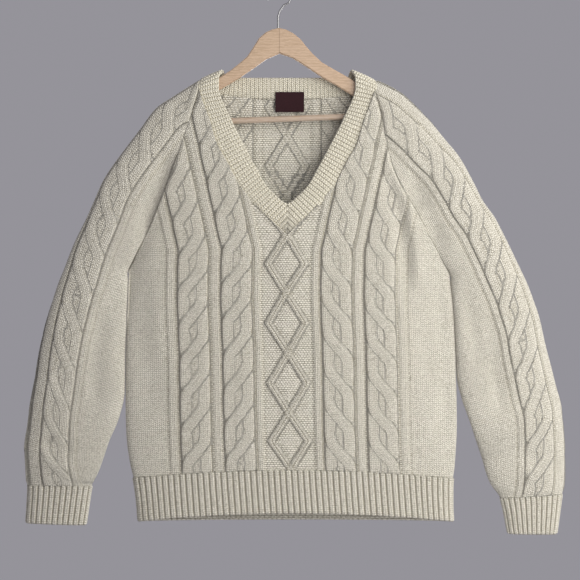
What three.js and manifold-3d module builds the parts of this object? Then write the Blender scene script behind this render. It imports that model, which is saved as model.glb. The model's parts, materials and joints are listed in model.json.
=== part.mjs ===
import * as THREE from 'three';
import Module from 'manifold-3d';

// Aran pullover with raglan sleeves and a ribbed V neckband, hung on a wooden hanger.
// Millimetres, +Z up, +X to the viewer's right, the chest faces -Y.
// The origin is the top inside of the hook, where the rail bears.

const WALL = 3.2;
const SEAM_GAP = 0.6;
const RIB_DEPTH = 1.4;
const HEM_RIB = 9.6;
const CUFF_RIB = 9.2;
const NECK_RIB = 6.7;
const LEAN = 0.22;
const PLAIN_FROM = 200;
const BODY_POWER = 3.2;
const SLEEVE_POWER = 2.6;
const WOOD_THICK = 11;
const BAR_DIAMETER = 10;
const WIRE_DIAMETER = 3.4;

// Number helpers.
const clamp = (v, a, b) => Math.min(b, Math.max(a, v));
const lerp = (a, b, f) => a + (b - a) * f;
const smooth = (a, b, v) => {
  const f = clamp((v - a) / (b - a), 0, 1);
  return f * f * (3 - 2 * f);
};

// Smooth curve through table rows, first column is the key, rising.
function column(table, index) {
  const n = table.length;
  const slope = [];
  for (let i = 0; i < n; i += 1) {
    const a = Math.max(0, i - 1);
    const b = Math.min(n - 1, i + 1);
    const left = i > 0 ? (table[i][index] - table[i - 1][index]) / (table[i][0] - table[i - 1][0]) : 0;
    const right = i < n - 1 ? (table[i + 1][index] - table[i][index]) / (table[i + 1][0] - table[i][0]) : 0;
    if (i === 0) slope.push(right);
    else if (i === n - 1) slope.push(left);
    else if (left * right <= 0) slope.push(0);
    else {
      const mean = (table[b][index] - table[a][index]) / (table[b][0] - table[a][0]);
      const cap = 3 * Math.min(Math.abs(left), Math.abs(right));
      slope.push(Math.sign(mean) * Math.min(Math.abs(mean), cap));
    }
  }
  return (v) => {
    if (v <= table[0][0]) return table[0][index] + slope[0] * (v - table[0][0]);
    if (v >= table[n - 1][0]) return table[n - 1][index] + slope[n - 1] * (v - table[n - 1][0]);
    let i = 0;
    while (v > table[i + 1][0]) i += 1;
    const h = table[i + 1][0] - table[i][0];
    const f = (v - table[i][0]) / h;
    const f2 = f * f;
    const f3 = f2 * f;
    return table[i][index] * (2 * f3 - 3 * f2 + 1) + slope[i] * h * (f3 - 2 * f2 + f)
      + table[i + 1][index] * (3 * f2 - 2 * f3) + slope[i + 1] * h * (f3 - f2);
  };
}

// Raglan sleeves, one row per station down the sleeve: distance down the outer fold, fold x and depth
// below the origin, front seam x and depth, back seam x and depth. Below the underarm both seams
// are the sleeve's own inner edge.
const LEFT_STATIONS = [
  [0, -130.4, 157.1, -132.0, 175.1, -96.2, 178.3],
  [25, -151.6, 170.2, -139.4, 199.5, -114.1, 209.3],
  [52, -174.4, 184.8, -145.9, 220.7, -127.1, 232.1],
  [84, -200.5, 202.8, -153.2, 240.3, -138.5, 251.7],
  [127, -226.6, 237.0, -167.9, 282.6, -156.5, 287.5],
  [194, -267.3, 290.8, -189.1, 343.0, -182.6, 338.1],
  [229, -286.9, 320.1, -200.5, 370.7, -195.6, 364.1],
  [265, -301.5, 352.7, -211.9, 398.4, -208.6, 390.2],
  [301, -316.2, 385.3, -226.6, 426.1, -224.9, 422.8],
  [334, -330.9, 414.7, -239.6, 452.2, -238.0, 450.5],
  [359, -340.7, 437.5, -247.8, 470.1, -247.8, 470.1],
  [386, -350.4, 463.6, -249.7, 502.7, -249.7, 502.7],
  [418, -361.9, 492.9, -251.3, 541.8, -251.3, 541.8],
  [450, -371.6, 523.9, -252.6, 580.9, -252.6, 580.9],
  [481, -379.8, 553.2, -253.3, 616.8, -253.3, 616.8],
  [526, -389.6, 597.2, -254.3, 665.7, -254.3, 665.7],
  [567, -396.1, 638.0, -264.9, 711.3, -264.9, 711.3],
  [612, -404.2, 682.0, -278.7, 748.8, -278.7, 748.8],
  [650, -409.1, 719.5, -286.9, 773.3, -286.9, 773.3],
  [689, -414.0, 758.6, -295.0, 796.1, -295.0, 796.1],
  [723, -412.4, 792.8, -303.2, 812.4, -303.2, 812.4],
  [750, -410.8, 818.9, -306.4, 820.5, -306.4, 820.5],
  [812, -414.0, 880.9, -316.2, 884.2, -316.2, 884.2],
];
const RIGHT_STATIONS = [
  [0, 159.7, 158.8, 158.1, 178.3, 122.2, 180.0],
  [23, 180.9, 168.5, 164.6, 202.8, 140.2, 210.9],
  [46, 200.5, 180.0, 168.7, 222.3, 150.0, 228.9],
  [77, 223.3, 201.1, 173.6, 251.7, 163.0, 250.0],
  [112, 247.8, 225.6, 182.6, 287.5, 179.3, 284.3],
  [150, 272.2, 254.9, 195.6, 320.1, 192.3, 316.9],
  [186, 295.0, 282.6, 211.9, 351.1, 208.6, 349.5],
  [232, 317.8, 323.4, 226.6, 375.6, 223.3, 373.9],
  [265, 332.5, 352.7, 241.2, 404.9, 239.6, 403.3],
  [299, 352.1, 380.4, 255.9, 431.0, 254.3, 429.3],
  [327, 365.1, 404.9, 268.9, 455.4, 268.1, 454.6],
  [352, 376.5, 427.7, 280.4, 476.6, 280.4, 476.6],
  [390, 392.8, 461.9, 284.9, 512.5, 284.9, 512.5],
  [421, 405.9, 489.7, 287.9, 545.1, 287.9, 545.1],
  [449, 415.6, 515.7, 289.8, 574.4, 289.8, 574.4],
  [480, 425.4, 545.1, 291.4, 607.0, 291.4, 607.0],
  [525, 435.2, 589.1, 293.4, 646.1, 293.4, 646.1],
  [564, 445.0, 626.6, 301.5, 678.7, 301.5, 678.7],
  [597, 453.1, 659.2, 311.3, 711.3, 311.3, 711.3],
  [623, 459.7, 683.6, 319.5, 737.4, 319.5, 737.4],
  [650, 462.9, 711.3, 326.0, 757.0, 326.0, 757.0],
  [683, 465.4, 743.9, 332.5, 776.5, 332.5, 776.5],
  [712, 466.2, 773.3, 339.0, 799.4, 339.0, 799.4],
  [739, 466.2, 799.4, 347.2, 818.9, 347.2, 818.9],
  [773, 462.9, 833.6, 361.9, 840.1, 361.9, 840.1],
  [840, 454.0, 899.2, 375.0, 898.5, 375.0, 898.5],
];
// Distance down the fold, how far round the flattened section the seam sits, half depth.
const LEFT_ROUND = [
  [0, -0.55, 15], [52, -0.35, 15.5], [84, -0.15, 16], [127, 0.1, 16.5], [194, 0.4, 17],
  [229, 0.58, 16.5], [265, 0.74, 17], [301, 0.87, 17], [334, 0.96, 17], [359, 1, 17],
  [526, 1, 16.5], [750, 1, 14], [812, 1, 13],
];
const RIGHT_ROUND = [
  [0, -0.55, 15], [46, -0.35, 15.5], [77, -0.15, 16], [112, 0.05, 16.5], [150, 0.25, 16.5],
  [186, 0.4, 17], [232, 0.6, 16.5], [265, 0.76, 17], [299, 0.88, 17], [327, 0.96, 17], [352, 1, 17],
  [525, 1, 16.5], [773, 1, 14], [840, 1, 12.5],
];
// Distance down the fold, where the middle stripe's centre lies round the sleeve.
const LEFT_TWIST = [[0, -5], [130, -5], [260, -2], [450, 10], [750, 20], [812, 20]];
const RIGHT_TWIST = [[0, 15], [120, 10], [260, 2], [450, 6], [773, 12], [840, 12]];
// Depth below the origin, x of the body's side seam.
const BODY_LEFT = [
  [470, -246.1], [515.7, -247.8], [580.9, -250.2], [677.1, -251.3], [743.9, -249.4],
  [784.7, -243.7], [809.1, -238.0], [841.7, -233.1], [880.9, -229.8],
];
const BODY_RIGHT = [
  [476.5, 279.3], [532, 285.2], [589.1, 288.5], [646.1, 290.1], [721.1, 291.0],
  [784.7, 287.7], [825.4, 283.6], [849.9, 283.6], [880.9, 285.2],
];
// Depth below the origin, x of the centre line, half depth of the body.
const BODY_CENTRE = [
  [173, 13, 15], [290, 13, 17], [410, 13, 18.5], [502, 11.4, 19.5], [602, 14.7, 20],
  [700, 16.3, 20.5], [791, 19.6, 21], [881, 26.1, 21],
];
const NECK_X = 13;
const HEM_TOP = 793;
const HEM_BOTTOM = 864;
const SAG = 15;

const body = {
  x: column(BODY_CENTRE, 1),
  depth: column(BODY_CENTRE, 2),
  left: column(BODY_LEFT, 1),
  right: column(BODY_RIGHT, 1),
};

// A polyline walked by length.
function path(points) {
  const at = [0];
  for (let i = 1; i < points.length; i += 1) {
    const a = points[i - 1];
    const b = points[i];
    at.push(at[i - 1] + Math.hypot(...b.map((v, k) => v - a[k])));
  }
  return {
    length: at[at.length - 1],
    find(s) {
      let i = 0;
      while (i < points.length - 2 && s > at[i + 1]) i += 1;
      const f = (s - at[i]) / (at[i + 1] - at[i]);
      return points[i].map((v, k) => lerp(v, points[i + 1][k], f));
    },
  };
}

function makeSleeve(stations, round, twist, underarm) {
  const col = [1, 2, 3, 4, 5, 6].map((k) => column(stations, k));
  const turn = column(round, 1);
  const half = column(round, 2);
  const memo = new Map();
  const section = (hand, t) => {
    const key = `${hand} ${t.toFixed(4)}`;
    if (memo.has(key)) return memo.get(key);
    const ox = col[0](t);
    const oz = col[1](t);
    const own = hand > 0 || t >= underarm;
    const sx = own ? col[2](t) : col[4](t);
    const sz = own ? col[3](t) : col[5](t);
    const end = Math.min(1, turn(t));
    const last = Math.acos(-end);
    const points = [];
    for (let i = 0; i <= 90; i += 1) {
      const xi = i === 90 ? end : -Math.cos((last * i) / 90);
      const f = (xi + 1) / (end + 1);
      const y = half(t) * (1 - Math.min(1, Math.abs(xi)) ** SLEEVE_POWER) ** (1 / SLEEVE_POWER);
      points.push([lerp(ox, sx, f), -hand * y, -lerp(oz, sz, f)]);
    }
    const walk = path(points);
    memo.set(key, walk);
    return walk;
  };
  return {
    section,
    underarm,
    twist: column(twist, 1),
    last: stations[stations.length - 1][0],
    width: (hand, t) => section(hand, t).length,
    point: (u, t) => section(u < 0 ? -1 : 1, t).find(Math.abs(u)),
  };
}
const leftSleeve = makeSleeve(LEFT_STATIONS, LEFT_ROUND, LEFT_TWIST, 359);
const rightSleeve = makeSleeve(RIGHT_STATIONS, RIGHT_ROUND, RIGHT_TWIST, 352);
leftSleeve.flip = -1;
rightSleeve.flip = 1;
leftSleeve.cuff = 750;
rightSleeve.cuff = 773;

// Raglan seam of one sleeve as a table of depth below the origin, x and y.
function seam(sleeve, hand) {
  const rows = [];
  for (let i = 0; i <= 60; i += 1) {
    const t = (sleeve.underarm * i) / 60;
    const p = sleeve.section(hand, t).find(sleeve.section(hand, t).length);
    rows.push([-p[2], p[0], p[1]]);
  }
  return rows;
}
function linear(rows, index, v) {
  if (v <= rows[0][0]) return rows[0][index];
  for (let i = 1; i < rows.length; i += 1) {
    if (v <= rows[i][0]) {
      const f = (v - rows[i - 1][0]) / (rows[i][0] - rows[i - 1][0]);
      return lerp(rows[i - 1][index], rows[i][index], f);
    }
  }
  return rows[rows.length - 1][index];
}

// One face of the body, front (-1) or back (+1).
function makeFace(face) {
  const edges = { '-1': seam(leftSleeve, -face), 1: seam(rightSleeve, -face) };
  const under = { '-1': 470.1, 1: 476.6 };
  const drop = (m, t) => {
    const w = smooth(434, HEM_TOP, t);
    const f = m / 275;
    return face < 0 ? SAG * f * f * w : (SAG - 2 + 2 * f * f) * w;
  };
  const lean = (t) => (face < 0 ? LEAN * Math.max(0, 434 - t) : 0);
  const memo = new Map();
  const section = (hand, t) => {
    const key = `${hand} ${t.toFixed(4)}`;
    if (memo.has(key)) return memo.get(key);
    const xc = body.x(t);
    const b = body.depth(t);
    let xe;
    let ye = 0;
    if (t < under[hand]) {
      xe = linear(edges[hand], 1, t);
      ye = Math.min(b * 0.999, Math.abs(linear(edges[hand], 2, t)));
    } else {
      xe = (hand < 0 ? body.left : body.right)(t + drop(275, t));
    }
    const end = (1 - (ye / b) ** BODY_POWER) ** (1 / BODY_POWER);
    const last = Math.asin(end);
    const points = [];
    for (let i = 0; i <= 90; i += 1) {
      const xi = i === 90 ? end : Math.sin((last * i) / 90);
      const y = b * (1 - xi ** BODY_POWER) ** (1 / BODY_POWER);
      points.push([((xe - xc) * xi) / end, face * y]);
    }
    const walk = path(points);
    memo.set(key, walk);
    return walk;
  };
  const full = { '-1': section(-1, under[-1]).length, 1: section(1, under[1]).length };
  // Half width of the cloth in this row, measured along the cloth from the centre line.
  const width = (hand, t) => (t < under[hand] ? section(hand, t).length - lean(t) : full[hand]);
  const along = (hand, m, t) => {
    const s = m + lean(t) * Math.min(1, m / 40);
    if (t < under[hand] || m < PLAIN_FROM) return s;
    const long = section(hand, t).length;
    return lerp(PLAIN_FROM, long, (m - PLAIN_FROM) / (full[hand] - PLAIN_FROM));
  };
  const point = (q, t) => {
    const hand = q < 0 ? -1 : 1;
    const m = Math.abs(q);
    const p = section(hand, t).find(along(hand, m, t));
    return [body.x(t) + p[0], p[1], -t - drop(m, t)];
  };
  return { face, section, width, point, lean, full, under };
}
const frontFace = makeFace(-1);
const backFace = makeFace(1);

// Unit normal of a map, outward, by small steps that stay inside lo..hi.
function normal(map, q, t, lo, hi, flip) {
  const d = 0.6;
  const q0 = Math.max(lo, q - d);
  const q1 = Math.min(hi, q + d);
  const a = map(q0, t);
  const b = map(q1, t);
  const c = map(clamp(q, q0, q1), t - d);
  const e = map(clamp(q, q0, q1), t + d);
  const u = new THREE.Vector3(b[0] - a[0], b[1] - a[1], b[2] - a[2]);
  const v = new THREE.Vector3(e[0] - c[0], e[1] - c[1], e[2] - c[2]);
  return u.cross(v).normalize().multiplyScalar(flip);
}

// Plane triangulation of points [q, t] by circumcircles. The strip bulges by a hair so that
// points in line on its edges keep their order.
function triangulate(points, inside) {
  let q0 = Infinity;
  let q1 = -Infinity;
  let t0 = Infinity;
  let t1 = -Infinity;
  points.forEach(([q, t]) => {
    q0 = Math.min(q0, q);
    q1 = Math.max(q1, q);
    t0 = Math.min(t0, t);
    t1 = Math.max(t1, t);
  });
  const qm = (q0 + q1) / 2;
  const tm = (t0 + t1) / 2;
  const qh = (q1 - q0) / 2;
  const th = (t1 - t0) / 2;
  const soft = points.map(([q, t]) => {
    const a = (q - qm) / qh;
    const b = (t - tm) / th;
    return [qm + qh * a * (1 + 0.002 * (1 - b * b)), 0.45 * (tm + th * b * (1 + 0.002 * (1 - a * a)))];
  });
  const n = soft.length;
  const big = 1e5;
  soft.push([qm - big, tm - big], [qm + big, tm - big], [qm, tm + big]);
  const circle = (a, b, c) => {
    const [ax, ay] = soft[a];
    const [bx, by] = soft[b];
    const [cx, cy] = soft[c];
    const d = 2 * (ax * (by - cy) + bx * (cy - ay) + cx * (ay - by));
    const aa = ax * ax + ay * ay;
    const bb = bx * bx + by * by;
    const cc = cx * cx + cy * cy;
    const x = (aa * (by - cy) + bb * (cy - ay) + cc * (ay - by)) / d;
    const y = (aa * (cx - bx) + bb * (ax - cx) + cc * (bx - ax)) / d;
    return { v: [a, b, c], x, y, r: (ax - x) ** 2 + (ay - y) ** 2 };
  };
  let tris = [circle(n, n + 1, n + 2)];
  for (let i = 0; i < n; i += 1) {
    const [x, y] = soft[i];
    const edges = new Map();
    const keep = [];
    tris.forEach((tri) => {
      if ((x - tri.x) ** 2 + (y - tri.y) ** 2 < tri.r) {
        for (let k = 0; k < 3; k += 1) {
          const a = tri.v[k];
          const b = tri.v[(k + 1) % 3];
          if (edges.has(`${b} ${a}`)) edges.delete(`${b} ${a}`);
          else edges.set(`${a} ${b}`, [a, b]);
        }
      } else keep.push(tri);
    });
    edges.forEach(([a, b]) => keep.push(circle(a, b, i)));
    tris = keep;
  }
  const out = [];
  tris.forEach(({ v }) => {
    if (v.some((k) => k >= n)) return;
    const [a, b, c] = v.map((k) => points[k]);
    const area = (b[0] - a[0]) * (c[1] - a[1]) - (b[1] - a[1]) * (c[0] - a[0]);
    const q = (a[0] + b[0] + c[0]) / 3;
    const t = (a[1] + b[1] + c[1]) / 3;
    if (!inside(q, t)) return;
    out.push(area > 0 ? v : [v[0], v[2], v[1]]);
  });
  return out;
}

// Landmarks of one repeat of the plait: across from its middle, up in repeats, raise.
const PLAIT = [
  [-16, 0.14, 2.6], [-16.3, 0.45, 3.3], [-15.5, 0.78, 3.3], [-9.5, 0.98, 3.9], [0, 1.15, 4.3],
  [9.5, 1.33, 4.0], [15.5, 1.53, 3.6], [16.3, 1.87, 3.2], [16.3, 2.22, 2.4],
  [-0.5, 0.62, 2.6], [0.5, 0.82, 2.4],
  [-17, 0.0, 0.3], [-9, 0.2, 0.7], [0, 0.39, 0.6], [-8, 0.52, 0.7], [-8, 0.76, 0.7],
  [0, 0.96, 0.7], [8, 0.58, 0.7], [8, 0.82, 0.7], [8.7, 0.09, 0.7], [15.5, 0.36, 0.4],
];
// Points of a plait with a lower tip at one depth, mirrored where hand is -1.
function plaitPoints(centre, hand, tip, repeat, keep) {
  const out = [];
  for (let k = -9; k < 14; k += 1) {
    PLAIT.forEach(([u, s, h]) => {
      const q = centre + hand * u;
      const t = tip - (s + k) * repeat;
      if (keep(q, t)) out.push([q, t, h]);
    });
  }
  return out;
}
// Points of the column of diamonds on the centre line.
function diamondPoints(crossings, keep) {
  const out = [];
  const add = (q, t, h) => {
    if (keep(q, t)) out.push([q, t, h]);
  };
  for (let k = 0; k < crossings.length - 1; k += 1) {
    const a = crossings[k];
    const long = crossings[k + 1] - a;
    add(0, a, 2);
    [-1, 1].forEach((s) => {
      add(s * 14, a + 0.2 * long, 2);
      add(s * 31, a + 0.5 * long, 2);
      add(s * 14, a + 0.8 * long, 2);
      add(s * 23, a + 0.5 * long, -0.2);
      add(s * 22, a + 0.14 * long, -0.6);
      add(s * 22, a + 0.86 * long, -0.6);
    });
    add(0, a + 0.18 * long, -0.2);
    add(0, a + 0.5 * long, 0.8);
    add(0, a + 0.82 * long, -0.2);
  }
  add(0, crossings[crossings.length - 1], 2);
  return out;
}
// Stripes beside the plaits on the body: distance from the centre line, raise, spacing.
const BODY_LINES = [
  [41, -0.6, 27.5], [44, 1.3, 55], [51.5, 1.3, 55], [56.5, -0.6, 27.5],
  [107, -0.6, 27.5], [111, 1.3, 55], [121, 1.3, 55], [126.5, -0.6, 27.5],
  [179.5, -0.6, 27.5], [183.5, 1.3, 55], [194, 1.3, 55], [197.5, -0.8, 55], [202, 0, 55],
  [232, 0, 55],
];
// Plaits of the body: middle, hand, depth of one lower tip, repeat.
const FRONT_PLAITS = [
  [-81.5, 1, 484.0, 56.7], [-152.5, 1, 492.3, 56.1], [81.5, -1, 486.3, 57.7], [152.5, -1, 498.8, 55.5],
];
const BACK_PLAITS = [
  [-81.5, 1, 487.0, 56.6], [-152.5, 1, 487.0, 56.6], [81.5, -1, 487.0, 56.6], [152.5, -1, 487.0, 56.6],
];
// Stripes on the sleeve, measured from the middle stripe's centre, both ways.
const SLEEVE_LINES = [
  [9, 0.9, 55], [12.5, -0.6, 27.5], [58.5, -0.6, 27.5], [61.5, 1.2, 55], [72, 1.2, 55], [76, -0.5, 55],
];
// Plaits of a sleeve: middle from the middle stripe, then lower tip and repeat of each sleeve.
const SLEEVE_PLAIT = 35.5;
const LEFT_PLAIT = [588.6, 62];
const RIGHT_PLAIT = [241.5, 61.3];

// Builds a sheet of cloth: raised outer face over a plain inner face, walls round its edge.
function sheet(name, outer, inner, place, closed) {
  const position = [];
  const index = [];
  const seen = new Map();
  const vertex = (layer, q, t, h) => {
    const p = place(layer, q, t, h);
    const key = p.map((v) => Math.round(v * 500)).join(' ');
    if (!seen.has(key)) {
      seen.set(key, position.length / 3);
      position.push(...p);
    }
    return seen.get(key);
  };
  const tri = (a, b, c) => {
    if (a !== b && b !== c && a !== c) index.push(a, b, c);
  };
  const rim = new Map();
  outer.tris.forEach((v) => {
    const id = v.map((k) => vertex(1, ...outer.points[k]));
    tri(id[0], id[1], id[2]);
    for (let k = 0; k < 3; k += 1) {
      const a = outer.points[v[k]];
      const b = outer.points[v[(k + 1) % 3]];
      const back = `${b[0]} ${b[1]} ${a[0]} ${a[1]}`;
      if (rim.has(back)) rim.delete(back);
      else rim.set(`${a[0]} ${a[1]} ${b[0]} ${b[1]}`, [a, b]);
    }
  });
  inner.tris.forEach((v) => {
    const id = v.map((k) => vertex(0, inner.points[k][0], inner.points[k][1], 0));
    tri(id[0], id[2], id[1]);
  });
  rim.forEach(([a, b]) => {
    if (closed && closed(a, b)) return;
    const a1 = vertex(1, ...a);
    const b1 = vertex(1, ...b);
    const a0 = vertex(0, a[0], a[1], 0);
    const b0 = vertex(0, b[0], b[1], 0);
    tri(a1, a0, b1);
    tri(b1, a0, b0);
  });
  return finish(name, position, index);
}
function finish(name, position, index) {
  let volume = 0;
  for (let i = 0; i < index.length; i += 3) {
    const [a, b, c] = [0, 1, 2].map((k) => new THREE.Vector3().fromArray(position, 3 * index[i + k]));
    volume += a.dot(b.cross(c));
  }
  if (volume < 0) index.reverse();
  const geometry = new THREE.BufferGeometry();
  geometry.setAttribute('position', new THREE.Float32BufferAttribute(position, 3));
  geometry.setIndex(index);
  geometry.computeVertexNormals();
  const mesh = new THREE.Mesh(geometry, new THREE.MeshStandardMaterial({ color: COLOURS[name] || 0xe9e2cf }));
  mesh.name = name;
  return mesh;
}
const COLOURS = {
  neckband: 0xe8dcba, label: 0x3a1a20, hanger_wood: 0xd6b48c, hanger_bar: 0xd9ba94, hanger_hook: 0xb9b9bd,
};

// Cuts a stack of upright strips: each line holds points down its length, and the strip between two
// lines is filled on its own.
function strips(lines, chain, extra, inside) {
  const points = [];
  const known = new Map();
  const tris = [];
  const id = (p) => {
    const key = `${p[0]} ${p[1]}`;
    if (!known.has(key)) {
      known.set(key, points.length);
      points.push(p);
    }
    return known.get(key);
  };
  for (let i = 0; i + 1 < lines.length; i += 1) {
    const q0 = lines[i].q;
    const q1 = lines[i + 1].q;
    const own = [...lines[i].points, ...lines[i + 1].points];
    chain.forEach((p) => {
      if (p[0] > q0 + 1e-6 && p[0] < q1 - 1e-6) own.push(p);
    });
    extra.forEach((p) => {
      if (p[0] > q0 && p[0] < q1) own.push(p);
    });
    triangulate(own, inside).forEach((v) => tris.push(v.map((k) => id(own[k]))));
  }
  return { points, tris };
}

// Depth at which a rising row of [key, value] pairs reaches a value.
function solve(f, value, lo, hi) {
  let a = lo;
  let b = hi;
  const up = f(b) > f(a);
  for (let i = 0; i < 50; i += 1) {
    const m = (a + b) / 2;
    if ((f(m) < value) === up) a = m;
    else b = m;
  }
  return (a + b) / 2;
}

// Left half of the neckband from the point of the V over the shoulder to the middle of the back:
// outer edge x, depth, y and inner edge x, depth, y. The first two rows lie on the mitre.
const BAND = [
  [13.0, 409.3, -18.2, 13.0, 409.0, -18.2],
  [-11.0, 386.9, -17.6, 13.0, 362.5, -17.0],
  [-20.8, 378.4, -17.4, 3.3, 354.4, -16.9],
  [-46.8, 350.7, -17.0, -21.2, 330.0, -16.4],
  [-69.6, 321.4, -16.4, -39.1, 299.0, -15.8],
  [-85.9, 290.4, -15.8, -53.0, 272.9, -15.0],
  [-103.7, 258.0, -14.9, -70.1, 240.3, -14.2],
  [-115.1, 220.5, -13.8, -83.9, 210.9, -13.2],
  [-124.9, 194.4, -14.2, -94.5, 188.1, -13.6],
  [-131.0, 174.8, -13.6, -99.4, 168.5, -13.0],
  [-130.4, 162.5, -11.4, -98.6, 149.5, -11.4],
  [-128.6, 155.2, 0, -92.9, 139.4, 0],
  [-118.0, 161.5, 11.4, -90.5, 144.5, 11.2],
  [-96.4, 177.5, 13.8, -86.0, 151.5, 13.4],
  [-71.7, 181.2, 14.0, -70.0, 152.2, 13.8],
  [-29.3, 183.4, 14.0, -29.3, 152.2, 14.0],
  [13.0, 183.9, 14.0, 13.0, 152.2, 14.0],
];
const BAND_RIGHT = { 9: [157.0, 178.0, -13.6], 10: [158.4, 164.5, -11.4], 11: [157.8, 156.8, 0] };
const BAND_THICK = 4.4;

const bandHalves = [-1, 1].map((hand) => {
  const rows = BAND.map((row, k) => {
    const out = hand > 0 && BAND_RIGHT[k] ? BAND_RIGHT[k] : [
      hand < 0 ? row[0] : 2 * NECK_X - row[0], row[1], row[2]];
    return [...out, hand < 0 ? row[3] : 2 * NECK_X - row[3], row[4], row[5]];
  });
  const length = [0];
  for (let k = 1; k < rows.length; k += 1) {
    const a = rows[k - 1];
    const b = rows[k];
    const outer = Math.hypot(a[0] - b[0], a[1] - b[1], a[2] - b[2]);
    const inner = Math.hypot(a[3] - b[3], a[4] - b[4], a[5] - b[5]);
    length.push(length[k - 1] + (k < 3 ? outer : (outer + inner) / 2));
  }
  const table = rows.map((row, k) => [length[k], ...row]);
  const total = length[length.length - 1];
  const f = [1, 2, 3, 4, 5, 6].map((k) => column(table, k));
  const mitre = length[1];
  return { total, mitre, at: (s) => {
    if (s <= mitre) {
      const v = s / mitre;
      return table[0].slice(1).map((a, k) => lerp(a, table[1][k + 1], v));
    }
    const r = f.map((g) => g(s));
    const onFront = s < table[9][0] ? smooth(table[9][0], table[8][0], s) : 0;
    if (onFront > 0) {
      const walk = frontFace.section(hand, r[1]);
      const reach = solve((v) => hand * (body.x(r[1]) + walk.find(v)[0]), hand * r[0], 0, walk.length);
      const shift = (walk.find(reach)[1] - r[2]) * onFront;
      r[2] += shift;
      r[5] += shift;
    }
    return r;
  } };
});

// Neckline edges as the band draws them: front rows of depth and x, back rows of x and depth.
const neckEdge = bandHalves.map((half) => {
  const front = [];
  const back = [];
  for (let i = 0; i <= 240; i += 1) {
    const r = half.at((half.total * i) / 240);
    if (r[2] < -8 && (front.length === 0 || r[1] < front[front.length - 1][0])) front.push([r[1], r[0]]);
    if (r[2] > 8) back.push([r[0], r[1]]);
  }
  return { front: front.reverse(), back };
});

// Distance along the cloth from the centre line to where a row reaches x.
function across(map, hand, t, x) {
  const walk = map.section(hand, t);
  const s = solve((v) => hand * (body.x(t) + walk.find(v)[0]), hand * x, 0, walk.length);
  const k = map.lean(t);
  return s >= 40 + k ? s - k : s / (1 + k / 40);
}

// Top edge of a body panel as [q, t] from the left underarm over the neck to the right one.
function panelTop(map, extraQ) {
  const rag = { '-1': 0, 1: 0 };
  const corner = {};
  const neck = {};
  [-1, 1].forEach((hand) => {
    const start = map.face < 0 ? 176 : 180;
    const limit = (t) => map.width(hand, t) - 0.4 - 1.2 * (1 - smooth(176, 240, t));
    rag[hand] = (m) => solve(limit, m, start - 3, map.under[hand] - 0.01);
    const edge = neckEdge[hand < 0 ? 0 : 1];
    const rows = [];
    if (map.face < 0) {
      for (let i = 0; i <= 80; i += 1) {
        const t = lerp(176.5, 409, i / 80);
        rows.push([i === 80 ? 0 : across(map, hand, t, linear(edge.front, 1, t)), t]);
      }
      rows.reverse();
    } else {
      edge.back.forEach(([x, t]) => {
        rows.push([x * hand > NECK_X * hand ? across(map, hand, Math.max(t, 176), x) : 0, t]);
      });
      rows.reverse();
    }
    neck[hand] = (m) => linear(rows, 1, Math.max(0, m - 1.0)) + 0.7;
    corner[hand] = solve((m) => rag[hand](m) - neck[hand](m), 0, 20, 200);
  });
  return { rag, neck, corner, t: (q) => {
    const hand = q < 0 ? -1 : 1;
    const m = Math.abs(q);
    return m < corner[hand] ? neck[hand](m) : rag[hand](m);
  } };
}

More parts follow.
